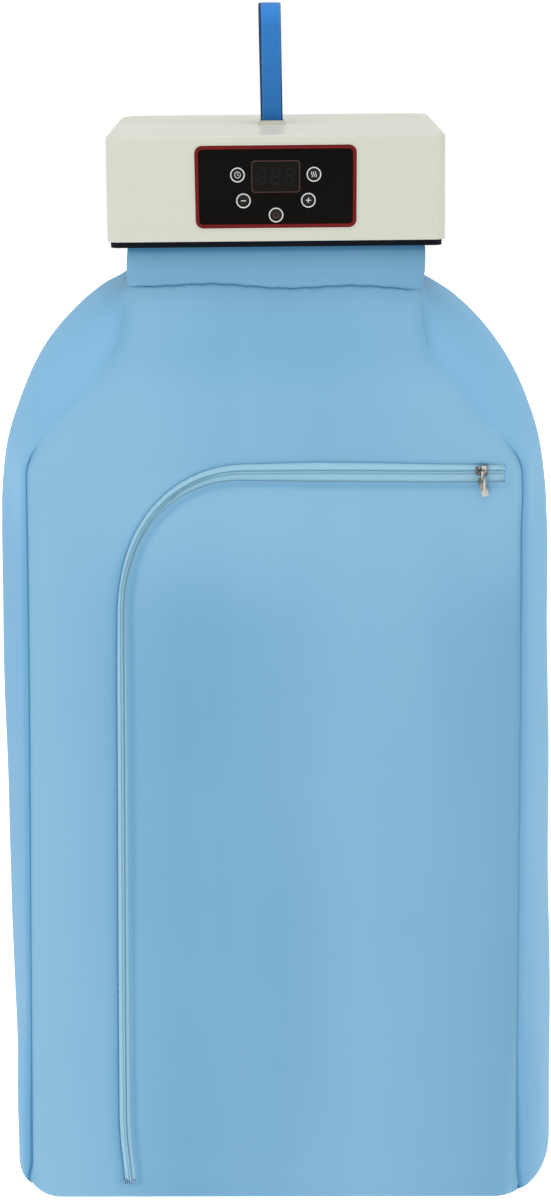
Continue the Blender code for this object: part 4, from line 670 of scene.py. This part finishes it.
def cloth_group():
    """Plain weave in two tones: random streaks and an attribute of painted shade pick the second, the seam
    attribute the stitched tone and painted shade.

    The weave's height is sin(2 pi u / p) sin(2 pi v / p), with u = x + y across, v = z up and p the pitch.
    """
    tree, place, given = group("woven_cloth", ["Color", "Painted Shade Color", "Seam And Shade Color"], ["Roughness", "Pitch"])
    parts = split(tree, place)
    yarns = []
    for way in (calc(tree, "ADD", parts[0], parts[1]), parts[2]):
        turns = calc(tree, "DIVIDE", calc(tree, "MULTIPLY", way, math.tau), given["Pitch"])
        yarns.append(calc(tree, "SINE", turns))
    weave = calc(tree, "MULTIPLY", *yarns)
    streaks = noise(tree, stretched(tree, place, (1, 1, 0.12)), 14.0, 3.0)
    tone = calc(tree, "MULTIPLY_ADD", streaks, 0.6, calc(tree, "MULTIPLY", noise(tree, place, 5.0), 0.4))
    # Share of the second tone: the cloth's random streaks, plus the painted shade carried by the attribute.
    loose = calc(tree, "ADD", ranged(tree, tone, 0.38, 0.64, -0.12, 0.12), attribute(tree, "painted_shade"))
    share = wire(tree, "ShaderNodeClamp", {}, {0: loose}).outputs[0]
    body = mixed(tree, share, given["Color"], given["Painted Shade Color"])
    slubs = noise(tree, stretched(tree, place, (1, 1, 0.25)), 900.0)
    return give(tree, mixed(tree, attribute(tree, "seam"), body, given["Seam And Shade Color"]),
                calc(tree, "MULTIPLY_ADD", weave, 0.04, given["Roughness"]),
                calc(tree, "MULTIPLY_ADD", slubs, 0.5, calc(tree, "MULTIPLY", weave, 0.5)))


def woven(name, color, painted_shade, seam, roughness, pitch, bump, specular=0.5):
    """Finish of a woven cloth or tape."""
    values = {"Color": color, "Painted Shade Color": painted_shade, "Seam And Shade Color": seam}
    return finish(name, "cloth", {**values, "Roughness": roughness, "Pitch": pitch}, bump, specular)


looks["cloth"] = cloth_group()
coating = (0.048, 0.200, 0.370), 0.55, 0.0006, 0.00003, 0.10
bag_cloth = woven("coated_polyester", (0.230, 0.446, 0.608), (0.165, 0.362, 0.530), *coating)
# The side panels get a bluer copy of the same cloth: painted light, for how light falls on their sides.
side_cloth = woven("coated_polyester_side_painted_light", (0.214, 0.455, 0.657), (0.153, 0.369, 0.572), *coating)


# Front cloth: one panel that the zip's opening cuts in two. Folded and topstitched hems stand up a little
# along the opening and pucker where the thread pulls, and the flap's grid is finer along a line between the
# zip's ends.
zip_right, bend_x, bend_width, bend_height = 0.210, -0.028, 0.116, 0.140
zip_foot = np.array([-0.155, foot_z + 0.0235])
fold_top = np.array([0.172, zip_z])
fold_along = (zip_foot - fold_top) / np.linalg.norm(zip_foot - fold_top)
fold_across = np.array([fold_along[1], -fold_along[0]])


def run_length(line):
    """Length along a line at each of its points."""
    return np.concatenate([[0], np.cumsum(np.linalg.norm(np.diff(line, axis=0), axis=1))])


def zip_run(offset_shares, offsets):
    """Zip line from its foot round the corner to its right end, moved outwards by offsets along its length.

    The corner is |x/.116|^2.1 + |z/.140|^2.1 = 1, and the top run sags by .0018 to its right end. Offsets are
    read by the share of the length from the foot.
    """
    turn = np.linspace(np.pi / 2, 0, 60)
    power = 2 / 2.1
    corner = np.stack([bend_x - bend_width * np.sin(turn) ** power,
                       zip_z - bend_height * (1 - np.cos(turn) ** power)], axis=-1)
    upright = np.linspace(zip_foot, corner[0], 120)[:-1]
    upright[:, 0] += 0.0035 * ease((-1.085 - upright[:, 1]) / 0.087)
    level = np.linspace(corner[-1], (zip_right, zip_z), 60)[1:]
    level[:, 1] -= 0.0018 * ease((level[:, 0] - 0.02) / 0.16)
    line = np.concatenate([upright, corner, level])
    length = run_length(line)
    offset = np.interp(length / length[-1], offset_shares, offsets)
    return line + offset[:, None] * square_to(unit(np.gradient(line, axis=0)))


hem_shares = [0, 0.54, 0.62, 0.66, 0.70, 0.77, 0.84, 0.91, 1]
outer_offsets = np.array([0.0068, 0.0054, 0.0042, 0.0054, 0.0062, 0.0078, 0.0092, 0.0086, 0.0070])
inner_offsets = -np.array([0.0064, 0.0052, 0.0040, 0.0036, 0.0048, 0.0080, 0.0096, 0.0098, 0.0098])
outer_hem, inner_hem = zip_run(hem_shares, outer_offsets), zip_run(hem_shares, inner_offsets)
end_x = zip_right + 0.0022
stitch_inset = 0.0022
outer_hem[-1, 0] = inner_hem[-1, 0] = end_x
foot_middle = (outer_hem[0] + inner_hem[0]) / 2
opening = np.concatenate([outer_hem, inner_hem[::-1]])


def edge_gap(x, z, outline):
    """Distance of points from a closed outline, and how far along the outline the nearest place lies."""
    run = np.roll(outline, -1, axis=0) - outline
    length = np.linalg.norm(run, axis=1) + tiny
    start = np.cumsum(length) - length
    gap = np.full(x.size, np.inf)
    place = np.zeros(x.size)
    points = np.stack([x.ravel(), z.ravel()], axis=-1)
    for a, r, l, s in zip(outline, run, length, start):
        share = np.clip((points - a) @ r / l ** 2, 0, 1)
        away = np.linalg.norm(points - a - share[:, None] * r, axis=1)
        nearer = away < gap
        gap[nearer] = away[nearer]
        place[nearer] = s + share[nearer] * l
    return gap.reshape(x.shape), place.reshape(x.shape)


seam_rise = np.linspace(foot_z, seam_z, 400)
seam_lean = np.arctan(np.gradient(crease_at(seam_rise, 1), seam_rise))


def front_base(x, z):
    """Front cloth without its hems: y = -(depth + bulge + folds) + tuck, and x drawn in at the side seams.

    Bulge: .013 (1 - |s|^2.4) left and .013 (1 - |s|^4) right of the middle, s the share of the half width.
    """
    side = np.sign(x)
    half = crease_at(z, side)
    share = np.clip(np.abs(x) / half, 0, 1)
    body = ease((-0.43 - z) / 0.2) * ease((z - foot_z) / 0.08)
    bulge = 0.013 * body * np.where(x < 0, 1 - share ** 2.4, 1 - share ** 4)
    folds = 0.0009 * body * (1 - share ** 4) * np.sin(61 * x + 1.4 * np.sin(5.2 * z) + 0.8)
    folds = folds + 0.0007 * body * (1 - share ** 4) * np.sin(27 * x - 9 * z)
    folds = folds + 0.0012 * bell(z, -0.303 - 0.04 * x, 0.007) * bell(x, -0.02, 0.10)
    folds = folds + 0.0015 * bell(x - 0.55 * z, 0.360, 0.012) * bell(z, -0.335, 0.045)
    gap = (half - np.abs(x)) * np.cos(np.interp(z, seam_rise, seam_lean))
    tuck = seam_tuck(z) * bell(gap, 0, tuck_width(z))
    rim = neck_rim(z) * corner_fade(x)
    y = -(depth_at(z) + bulge + folds) + tuck_share * tuck + rim + corner_dip(half - np.abs(x), z)
    # line: the side seam's stitch tone with its painted shade, and the neck seam's stitches.
    line = seam_stitch_and_shade(gap, z) * seam_pull(z, side) + 0.9 * neck_line(z) * corner_fade(x)
    return x - tuck_share * side * tuck, y, line


def front_hemmed(x, z, sink):
    """Front cloth with its hems: a step that fades away from the edge, a folded lip and the thread's pucker.

    The step is sink exp(-d/.0065), and it is none where the two cloths meet beyond the zip's ends.
    """
    gap, place = edge_gap(x, z, opening)
    base_x, y, line = front_base(x, z)
    beyond = np.hypot(np.clip(end_x - x, 0, None), z - zip_z)
    below = np.hypot(x - foot_middle[0], np.clip(z - foot_middle[1], 0, None))
    step = sink * np.exp(-gap / 0.0065) * ease(np.minimum(beyond, below) / 0.012)
    lip = 0.0007 * bell(gap, 0.0028, 0.0030) - 0.0006 * np.clip(1 - gap / 0.0007, 0, 1)
    pull = np.sin(place / 0.0013 + 1.7 * np.sin(place / 0.011)) * (0.6 + 0.4 * np.sin(place / 0.029))
    pucker = 0.00032 * pull * np.exp(-gap / 0.006)
    stitches = 0.00025 * bell(gap, stitch_inset, 0.0005)
    upright = ease((-0.43 - z) / 0.10)
    # The hem's edge tone: a dark line at the edge, partly its stitched fold and partly painted shade, and
    # soft bands of painted shade beside it.
    if sink > 0:
        edge = 0.75 * bell(gap, 0, 0.0011) + (0.08 + 0.20 * upright) * bell(gap, 0.001, 0.0060)
    else:
        edge = 0.12 * bell(gap, 0, 0.0010) + 0.32 * bell(gap, 0.0030 + 0.0008 * upright, 0.0034)
    edge = edge * (1 - 0.75 * ease((x - 0.200) / 0.009))
    return base_x, y + step - lip - pucker + stitches, np.maximum(line, edge * (gap < 0.05))


def front_painted_shade(x, z):
    """Painted shade on the front: a broad band below z = -.5 and a weaker one in the middle above the zip.

    The broad one runs from the zip to the right seam, with a lighter crown at x = .10.
    """
    low = 0.93 * ease((x + 0.25) / 0.17) - 0.60 * bell(x, 0.10, 0.09) - 0.60 * ease((x - 0.238) / 0.012)
    high = 0.50 * bell(x, 0.02, 0.12) + 0.30 * ease((z + 0.34) / 0.05)
    return low * ease((-0.43 - z) / 0.14) + high * ease((z + 0.43) / 0.03)


def front_cloth_points(x, z, sink):
    """Hemmed front cloth after it hangs, with its seam tint and its painted shade."""
    base_x, y, line = front_hemmed(x, z, sink)
    return hang(base_x, y, z), line, front_painted_shade(x, z)


outer_sink, inner_sink = 0.0014, -0.0012


def resampled(points, count, lean=1.0):
    """Points spaced evenly along a polyline without its last, or closer to its start for a lean above 1."""
    length = run_length(points)
    at = length[-1] * np.linspace(0, 1, count + 1)[:-1] ** lean
    return np.stack([np.interp(at, length, points[:, k]) for k in (0, 1)], axis=-1)


def joined(sections, last):
    """Sections of (polyline, count, lean) put end to end and closed by a last point."""
    return np.concatenate([resampled(np.asarray(line, float), count, lean) for line, count, lean in sections]
                          + [np.array([last], float)])


def ruled(first, second, rows, fold=False):
    """Grid between two rows of points: close at both ends of each line and, where asked, at the flap's fold.

    The spacing is min(.016, .0005 + .22 d, .0005 + .22 (L - d), .003 + .3 |d - fold|) on a line of length L.
    """
    grid = []
    for a, b in zip(first, second):
        length = np.linalg.norm(b - a)
        d = np.linspace(0, length, 500)
        spacing = np.minimum(0.016, np.minimum(0.0005 + 0.22 * d, 0.0005 + 0.22 * (length - d)))
        if fold:
            drop = (a + (b - a) * d[:, None] / length - fold_top) @ fold_across
            spacing = np.minimum(spacing, 0.003 + 0.3 * np.abs(drop))
        total = np.concatenate([[0], np.cumsum(1 / (spacing[1:] + spacing[:-1]))])
        share = np.interp(np.linspace(0, total[-1], rows + 1), total, d / length)
        grid.append(a + (b - a) * share[:, None])
    return np.stack(grid, axis=1)


def crease_line(start, stop, side, count=200):
    """Front edge of a side seam between two heights."""
    z = np.linspace(start, stop, count)
    return np.stack([side * crease_at(z, side), z], axis=-1)


low, bent, top, level = 119, 149, 179, 219
outer_first = joined([(np.array([(foot_middle[0], foot_z), foot_middle, outer_hem[0]]), 16, 1.7),
                      (outer_hem[:low + 1], 210, 1), (outer_hem[low:bent + 1], 44, 1),
                      (outer_hem[bent:top + 1], 44, 1), (outer_hem[top:level + 1], 60, 1),
                      (outer_hem[level:], 30, 1), (np.array([outer_hem[-1], (end_x, zip_z)]), 8, 1)],
                     (end_x, zip_z))
outer_second = joined([(crease_line(foot_z, -1.168, -1), 16, 1.7), (crease_line(-1.168, -0.545, -1), 210, 1),
                       (crease_line(-0.545, -0.400, -1), 44, 1), (crease_line(-0.400, seam_z, -1), 44, 1),
                       (np.array([(-neck_half, seam_z), (neck_half, seam_z)]), 60, 1),
                       (crease_line(seam_z, -0.375, 1), 30, 1), (crease_line(-0.375, zip_z, 1), 8, 1)],
                      (crease_at(zip_z, 1), zip_z))
pattern = ruled(outer_first, outer_second, 52)
points, line, painted_shade = front_cloth_points(pattern[..., 0], pattern[..., 1], outer_sink)
front_cloth = cloth_sheet("front_cloth", points, line, painted_shade, bag_cloth)
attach(front_cloth, "root")
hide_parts("bag_front")

inner_first = joined([(np.array([foot_middle, inner_hem[0]]), 8, 1), (inner_hem[:bent + 1], 240, 1),
                      (inner_hem[bent:], 120, 1), (np.array([inner_hem[-1], (end_x, zip_z)]), 8, 1)],
                     (end_x, zip_z))
inner_second = joined([(np.array([(foot_middle[0], foot_z), (foot_middle[0] + 0.02, foot_z)]), 8, 1),
                       (np.array([(foot_middle[0] + 0.02, foot_z), (crease_at(foot_z, 1), foot_z)]), 240, 1),
                       (crease_line(foot_z, -0.425, 1), 120, 1), (crease_line(-0.425, zip_z, 1), 8, 1)],
                      (crease_at(zip_z, 1), zip_z))
pattern = ruled(inner_first, inner_second, 76, fold=True)
points, line, painted_shade = front_cloth_points(pattern[..., 0], pattern[..., 1], inner_sink)
door_cloth = cloth_sheet("door_cloth", points, line, painted_shade, bag_cloth, turn=-1)
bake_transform(door_cloth)
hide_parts("bag_door")


# Side panels, back, base and neck: the same cloth, with a bluer copy of its finish on the side panels that
# paints light. The sides carry the round shoulders, and the neck is a band that grips the hook tape on the
# head's skirt.
def side_points(z, turn, side):
    """Side panel: y = depth sin(turn), x a quarter sine from the seam to mid depth, less the seam's tuck."""
    depth, half = depth_at(z) - corner_at(z), crease_at(z, side)
    y = depth * np.sin(turn)
    share = side_share(y, z, side)
    tuck = seam_tuck(z) * bell(depth - np.abs(y), 0, tuck_width(z))
    folds = 0.0007 * share * np.sin(24 * z + 3 * np.sin(9 * y) + side) * ease((-0.40 - z) / 0.2)
    folds = (folds + 0.0010 * share * np.sin(70 * y + 3 * z)) * ease((z - foot_z) / 0.1)
    x = side * (half + (side_at(z, side) - half) * share + folds - tuck_share * tuck - neck_rim(z))
    # line: the side seam's stitch tone with its painted shade, and the neck seam's stitches.
    line = seam_stitch_and_shade(depth - np.abs(y), z) * seam_pull(z, side) + 0.8 * neck_line(z)
    # Painted shade over the side panel below the shoulder, more on the left one.
    painted_shade = (0.5 - 0.2 * side) * ease((-0.40 - z) / 0.10)
    return hang(x, y - tuck_share * np.sign(y) * tuck, z), line, painted_shade


foot_rows = foot_z + foot_roll * np.array([0, 0.03, 0.12, 0.26, 0.45, 0.7])
seam_rows = seam_z - np.array([0.0003, 0.001, 0.002, 0.0035, 0.006, 0.009])[::-1]
wall_rows = np.concatenate([foot_rows, np.linspace(foot_z + foot_roll, -0.45, 120),
                            np.linspace(-0.446, -0.253, 60), seam_rows, [seam_z]])
z, turn = np.meshgrid(wall_rows, np.linspace(-np.pi / 2, np.pi / 2, 73), indexing="ij")
for side, hand in ((-1, "left"), (1, "right")):
    points, line, painted_shade = side_points(z, turn, side)
    gusset = cloth_sheet(f"side_cloth_{hand}", points, line, painted_shade, side_cloth, turn=side * -1)
    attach(gusset, "root")
    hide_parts(f"bag_gusset_{hand}")

z, across = np.meshgrid(wall_rows, np.sin(np.linspace(-np.pi / 2, np.pi / 2, 97)), indexing="ij")
half = np.where(across < 0, crease_at(z, -1), crease_at(z, 1))
body = ease((-0.40 - z) / 0.25) * ease((z - foot_z) / 0.1)
gap = (1 - np.abs(across)) * half
tuck = seam_tuck(z) * bell(gap, 0, tuck_width(z))
folds = body * (1 - across ** 4) * (0.006 + 0.0012 * np.sin(50 * across * half + 2 * np.sin(4 * z)))
back_y = depth_at(z) + folds - tuck_share * tuck - neck_rim(z) - corner_dip(gap, z)
points = hang(across * half - tuck_share * np.sign(across) * tuck, back_y, z)
# line: the side seams' stitch tone with their painted shade, and the neck seam's stitches; 0.5 is an even
# share of painted shade.
line = seam_stitch_and_shade(gap, z) + 0.8 * neck_line(z)
back_cloth = cloth_sheet("back_cloth", points, line, 0.5, bag_cloth)
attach(back_cloth, "root")
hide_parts("bag_back")

outline_turn = np.linspace(-np.pi / 2, np.pi / 2, 73)
foot_level = np.full(73, foot_z)


def foot_side(side):
    """Plan of a side panel's foot."""
    depth, half = depth_at(foot_level), crease_at(foot_level, side)
    y = depth * np.sin(outline_turn)
    share = side_share(y, foot_level, side)
    return np.stack([side * (half + (side_at(foot_level, side) - half) * share), y], axis=-1)


right_plan, left_plan = foot_side(1), foot_side(-1)[::-1]
plan = np.concatenate([right_plan, np.linspace(right_plan[-1], left_plan[0], 61)[1:-1], left_plan,
                       np.linspace(left_plan[-1], right_plan[0], 61)[1:]])
spread = (1 - np.linspace(1, 0, 34) ** 1.6)[:, None]
plan_x, plan_y = spread * plan[:, 0], spread * plan[:, 1]
sag = 0.0012 * (1 - spread ** 2) * np.sin(14 * plan_x + 2 * plan_y)
points = hang(plan_x, plan_y, np.full(plan_x.shape, foot_z)) + sag[..., None] * np.array([0, 0, 1])
base_cloth = cloth_sheet("base_cloth", points, bell(spread, 1, 0.006), 0.5, bag_cloth, turn=-1, closed=True)
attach(base_cloth, "root")
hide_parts("bag_bottom")


def neck_ring(z):
    """Plan of the neck at a height: a rectangle whose corners open from 7.5 mm at the seam to 9 mm above."""
    radius = 0.0075 + 0.0015 * float(ease((z - seam_z) / 0.014))
    corners = []
    for k, (sx, sy) in enumerate(((1, -1), (1, 1), (-1, 1), (-1, -1))):
        turn = np.radians(np.linspace(-90 + 90 * k, 90 * k, 9))
        corners.append(np.stack([sx * (neck_half - radius) + radius * np.cos(turn),
                                 sy * (neck_depth - radius) + radius * np.sin(turn)], axis=-1))
    ring = []
    for k, count in enumerate((40, 64, 40, 64)):
        ring += [corners[k], np.linspace(corners[k][-1], corners[(k + 1) % 4][0], count)[1:-1]]
    ring = np.concatenate(ring)
    return np.concatenate([ring, ring[:1]])


neck_top = -0.2058
gathered = 0.009
neck_rows = np.concatenate([seam_z + gathered * np.linspace(0, 1, 8)[:-1] ** 1.7,
                            np.linspace(seam_z + gathered, neck_top, 20)])
rings = np.stack([neck_ring(z) for z in neck_rows])
ring_x, ring_y = rings[..., 0], rings[..., 1]
z = np.repeat(neck_rows[:, None], rings.shape[1], axis=1)
middle_share = np.sin(np.pi * (z - seam_z) / (neck_top - seam_z))
swell = 0.012 * middle_share ** 0.7 - 0.016 * bell(z, seam_z, 0.0014) * corner_fade(ring_x)
swell = swell + 0.0020 * np.sin(ring_x / 0.0021 + ring_y / 0.0019) * bell(z, seam_z + 0.003, 0.006)
swell = swell + 0.0030 * np.sin(31 * ring_x + 40 * z) * middle_share
points = hang(ring_x * (1 + swell), ring_y * (1 + swell), z)
# A painted shadow of the tray's rim: a dark band at the top of the neck.
painted_rim_shadow = 0.82 * ease((z + 0.2128) / 0.0036) + 0.22 * bell(z, -0.2130, 0.0040)
line = 0.9 * neck_line(z) * corner_fade(ring_x) + painted_rim_shadow
# 0.85: painted shade over the whole neck, which lies in the head's shade.
neck_cloth = cloth_sheet("neck_cloth", points, line, 0.85, bag_cloth, turn=-1, closed=True)
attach(neck_cloth, "root")
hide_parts("bag_neck")


# Zip: two pale woven tapes tucked under the hems, a moulded nylon coil on each in a darker blue, and the
# rows of lockstitch that hold coils and hems. The threads are separate short runs of yarn.
def zip_strip(shares, near, far):
    """Grid between two offsets of the zip line, run 6 mm on at its foot and 5 mm at its right end."""
    lines = [zip_run(shares, near), zip_run(shares, far)]
    lines = [np.concatenate([line[:1] - [[0, 0.006]], line, line[-1:] + [[0.005, 0]]]) for line in lines]
    share = np.linspace(0, 1, 9)[None, :, None]
    return lines[0][:, None] * (1 - share) + lines[1][:, None] * share


def strip_points(grid, sink):
    """Strip on the front cloth's base surface, that bows back by sink towards the edge under the hem."""
    base_x, y, _ = front_base(grid[..., 0], grid[..., 1])
    return hang(base_x, y + 0.0002 + sink * np.linspace(0, 1, grid.shape[1]) ** 2, grid[..., 1])


tape_cloth = woven("pale_woven_tape", (0.310, 0.540, 0.665), (0.270, 0.500, 0.630), (0.12, 0.30, 0.42), 0.68,
                   0.0009, 0.00006, 0.25)
tape_thick, tape_tuck, coil_half = 0.0006, 0.0030, 0.0004
near_edge = np.full(len(hem_shares), coil_half)
outer_strip = zip_strip(hem_shares, near_edge, outer_offsets + tape_tuck)
outer_tape = cloth_sheet("zip_tape_fixed", strip_points(outer_strip, 0.0024), 0, 0, tape_cloth, tape_thick)
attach(outer_tape, "root")
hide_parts("zip_tape_bag")
inner_strip = zip_strip(hem_shares, -near_edge, inner_offsets - tape_tuck)
inner_tape = cloth_sheet("zip_tape_moving", strip_points(inner_strip, 0.0002), 0, 0, tape_cloth, tape_thick,
                         turn=-1)
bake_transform(inner_tape)
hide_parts("zip_tape_door")


def spaced(line, pitch, start=0.0):
    """Places every pitch along a line, with the direction there."""
    length = run_length(line)
    at = np.arange(start + pitch / 2, length[-1], pitch)
    place, ahead, behind = (np.stack([np.interp(at + step, length, line[:, k]) for k in (0, 1)], axis=-1)
                            for step in (0, pitch / 4, -pitch / 4))
    return place, unit(ahead - behind)


def small_blocks(name, place, along, size, depth, given, material, skew=0.0):
    """Low blocks on a surface of the front, of a size (along, across, high) and narrower in front."""
    a, b, h = size
    corners = np.array([(-a, -b), (a, -b), (a, b), (-a, b)]) / 2
    local = np.concatenate([np.insert(corners, 2, 0, axis=1), np.insert(corners * [0.6, 0.8], 2, h, axis=1)])
    run = along * math.cos(skew) + square_to(along) * math.sin(skew)
    square = square_to(run)
    flat = place[:, None] + local[None, :, :1] * run[:, None] + local[None, :, 1:2] * square[:, None]
    base_x, y, _ = depth(place[:, 0], place[:, 1], *given)
    shift = (base_x - place[:, 0])[:, None]
    points = hang(flat[..., 0] + shift, y[:, None] - local[None, :, 2], flat[..., 1])
    quads = np.array([(0, 1, 2, 3), (4, 7, 6, 5), (0, 4, 5, 1), (1, 5, 6, 2), (2, 6, 7, 3), (3, 7, 4, 0)])
    faces = (quads[None] + 8 * np.arange(len(place))[:, None, None]).reshape(-1, 4)
    return solid(name, points.reshape(-1, 3).tolist(), faces.tolist(), material)


coil_nylon = plastic("blue_nylon_coil", (0.31, 0.555, 0.67), (0.27, 0.51, 0.63), 0.40, 900.0, 0.00001, 0.4)
coil_thread = plastic("dark_coil_thread", (0.12, 0.32, 0.45), (0.14, 0.35, 0.48), 0.7, 2500.0, 0.00002)
hem_thread = plastic("light_hem_thread", (0.26, 0.49, 0.67), (0.20, 0.42, 0.60), 0.7, 2500.0, 0.00002)
tooth_pitch, tooth_size = 0.0013, (0.00095, 0.0018, 0.0012)
thread_pitch, thread_size = 0.0026, (0.0024, 0.0005, 0.0006)
hem_pitch, hem_size = 0.0032, (0.0025, 0.0005, 0.0003)
for side, body, hem, start, sink in ((1, "fixed", outer_hem, 0.0003, outer_sink),
                                     (-1, "moving", inner_hem, 0.00095, inner_sink)):
    teeth = spaced(zip_run([0, 1], np.full(2, coil_half * side)), tooth_pitch, start)
    coil = small_blocks(f"zip_teeth_{body}", *teeth, tooth_size, front_base, (), coil_nylon, 0.12 * side)
    row = spaced(zip_run([0, 1], np.full(2, 0.0015 * side)), thread_pitch)
    thread = small_blocks(f"zip_thread_{body}", *row, thread_size, front_base, (), coil_thread)
    seam = spaced(hem + stitch_inset * side * square_to(unit(np.gradient(hem, axis=0))), hem_pitch)
    topstitch = small_blocks(f"hem_thread_{body}", *seam, hem_size, front_hemmed, (sink,), hem_thread)
    for piece, slot in ((coil, "dark_teal_coil"), (thread, "dark_teal_coil"),
                        (topstitch, "light_blue_cloth")):
        if side > 0:
            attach(piece, "root")
        else:
            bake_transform(piece)
    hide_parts("zip_coil_bag" if side > 0 else "zip_coil_door")

# Bar tack at the zip's foot: one row of satin stitches over both tapes, sewn by machine in white and navy
# thread by turns, which stops the slider.
tack_width, tack_count = 0.0148, 15
across = np.linspace(-tack_width / 2, tack_width / 2, tack_count)
middle = np.array([foot_middle[0] + 0.0012, foot_z + 0.0220])
for name, first, color in (("white", 0, (0.34, 0.48, 0.62)), ("navy", 1, (0.008, 0.030, 0.12))):
    yarn = plastic(f"{name}_tack_thread", color, tuple(0.8 * c for c in color), 0.6, 2500.0, 0.00002)
    uneven = 0.0007 * np.cos(3.1 * np.arange(tack_count))
    place = np.stack([middle[0] + across[first::2], middle[1] + uneven[first::2]], axis=-1)
    upright = np.tile([0.12, 0.993], (len(place), 1))
    tack = small_blocks(f"bar_tack_{name}", place, upright, (0.0036, 0.0010, 0.0014), front_base, (), yarn)
    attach(tack, "root")
    if name == "white":
        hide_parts("zip_bottom_stop")


# Strap: one length of woven polyester webbing with navy selvedges, laid round the steel bar and sewn to
# itself above the collar. Its two legs hang from the round top of the loop.
def webbing_group():
    """Herringbone webbing across X, navy beyond a half width, with a lighter yarn inside the selvedge."""
    colors = ["Color", "Mark Color", "Edge Color"]
    tree, place, given = group("webbing", colors, ["Roughness", "Middle", "Half Width"])
    parts = split(tree, place)
    off = calc(tree, "ABSOLUTE", calc(tree, "SUBTRACT", parts[0], given["Middle"]))
    zigzag = calc(tree, "PINGPONG", off, 0.0016)
    along = calc(tree, "ADD", calc(tree, "SUBTRACT", parts[2], parts[1]), zigzag)
    ribs = calc(tree, "SINE", calc(tree, "MULTIPLY", along, math.tau / 0.0014))
    warp = calc(tree, "SINE", calc(tree, "MULTIPLY", off, math.tau / 0.0011))
    height = calc(tree, "MULTIPLY_ADD", ribs, 0.5, calc(tree, "MULTIPLY", warp, 0.3))
    tone = ranged(tree, calc(tree, "ADD", height, noise(tree, place, 300.0)), -0.4, 1.4, 0.0, 1.0)
    inner = calc(tree, "COMPARE", off, calc(tree, "SUBTRACT", given["Half Width"], 0.0009), 0.0005)
    lighter = calc(tree, "MAXIMUM", tone, calc(tree, "MULTIPLY", inner, 0.8))
    body = mixed(tree, lighter, given["Color"], given["Mark Color"])
    edge = calc(tree, "GREATER_THAN", off, given["Half Width"])
    return give(tree, mixed(tree, edge, body, given["Edge Color"]), given["Roughness"], height)


looks["webbing"] = webbing_group()
strap_middle, strap_half, strap_thick = -0.003, 0.01025, 0.0016
webbing = finish("blue_webbing_weave", "webbing", {
    "Color": (0.010, 0.145, 0.46), "Mark Color": (0.026, 0.225, 0.60), "Edge Color": (0.010, 0.028, 0.085),
    "Roughness": 0.62, "Middle": strap_middle, "Half Width": strap_half - 0.0014},
    0.00012, 0.3, {"Sheen Weight": 0.15, "Sheen Roughness": 0.4})
loop_radius, bar_radius, bar_z = 0.016, 0.0018, -0.1051
loop_top = -loop_radius
slope = math.asin((loop_radius - bar_radius) / (loop_top - bar_z))
upper = np.linspace(-slope, math.pi + slope, 48)
lower = np.linspace(math.pi + slope, 2 * math.pi - slope, 16)


def leg(start, stop, count, bow):
    """Leg of the loop between two points, bowed by bow sin(pi t) square to it."""
    t = np.linspace(0, 1, count)[1:-1, None]
    away = np.array([[stop[1] - start[1], start[0] - stop[0]]]) / np.hypot(*(np.array(stop) - start))
    return start + (stop - start) * t + bow * np.sin(np.pi * t) * away


over = np.stack([loop_radius * np.cos(upper), loop_top + loop_radius * np.sin(upper)], axis=-1)
under = np.stack([bar_radius * np.cos(lower), bar_z + bar_radius * np.sin(lower)], axis=-1)
leg_bow = 0.0008
route = np.concatenate([over, leg(over[-1], under[0], 60, leg_bow), under,
                        leg(under[-1], over[0], 60, leg_bow), over[:1]])
square = -square_to(unit(np.gradient(np.concatenate([route[-2:-1], route, route[1:2]]), axis=0)[1:-1]))
ribs = np.linspace(-1, 1, 25)
plump = 0.5 * (1 - np.abs(ribs) ** 9)
loops = []
for share, level in ((ribs, 0.5 + plump), (ribs[::-1], 0.5 - plump[::-1])):
    loops.append(np.stack([share * strap_half, level * strap_thick], axis=-1)[:-1])
section = np.concatenate(loops + [loops[0][:1]])
lean = 0.0012 * np.clip((route[:, 1] - bar_z) / -bar_z, 0, 1)
points = np.stack([strap_middle - lean[:, None] + section[None, :, 0],
                   route[:, None, 0] + square[:, None, 0] * section[None, :, 1],
                   route[:, None, 1] + square[:, None, 1] * section[None, :, 1]], axis=-1)
rows, columns = points.shape[:2]
index = np.arange(rows * columns).reshape(rows, columns)
index[-1], index[:, -1] = index[0], index[:, 0]
index[-1, -1] = index[0, 0]
quads = np.stack([index[:-1, :-1], index[:-1, 1:], index[1:, 1:], index[1:, :-1]], axis=-1).reshape(-1, 4)
strap_webbing = solid("strap_webbing", points.reshape(-1, 3).tolist(), quads.tolist(), webbing)
strap_webbing.data.shade_smooth()
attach(strap_webbing, "strap")
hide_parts("hanging_strap")


# Hook tape and foam filter: a woven band of nylon hooks round the tray's skirt, seen as a fine dark nap,
# and a sheet of open-celled grey foam behind the back wall's grille.
hooks = woven("nylon_hooks", (0.022, 0.022, 0.026), (0.035, 0.035, 0.040), (0.02, 0.02, 0.02), 0.85, 0.0012,
              0.0003)
dress(hooks, "neck_hook_tape")
foam = plastic("filter_foam_cells", (0.035, 0.036, 0.038), (0.075, 0.075, 0.078), 0.9, 700.0, 0.0006, 0.15)
dress(foam, "inlet_filter")
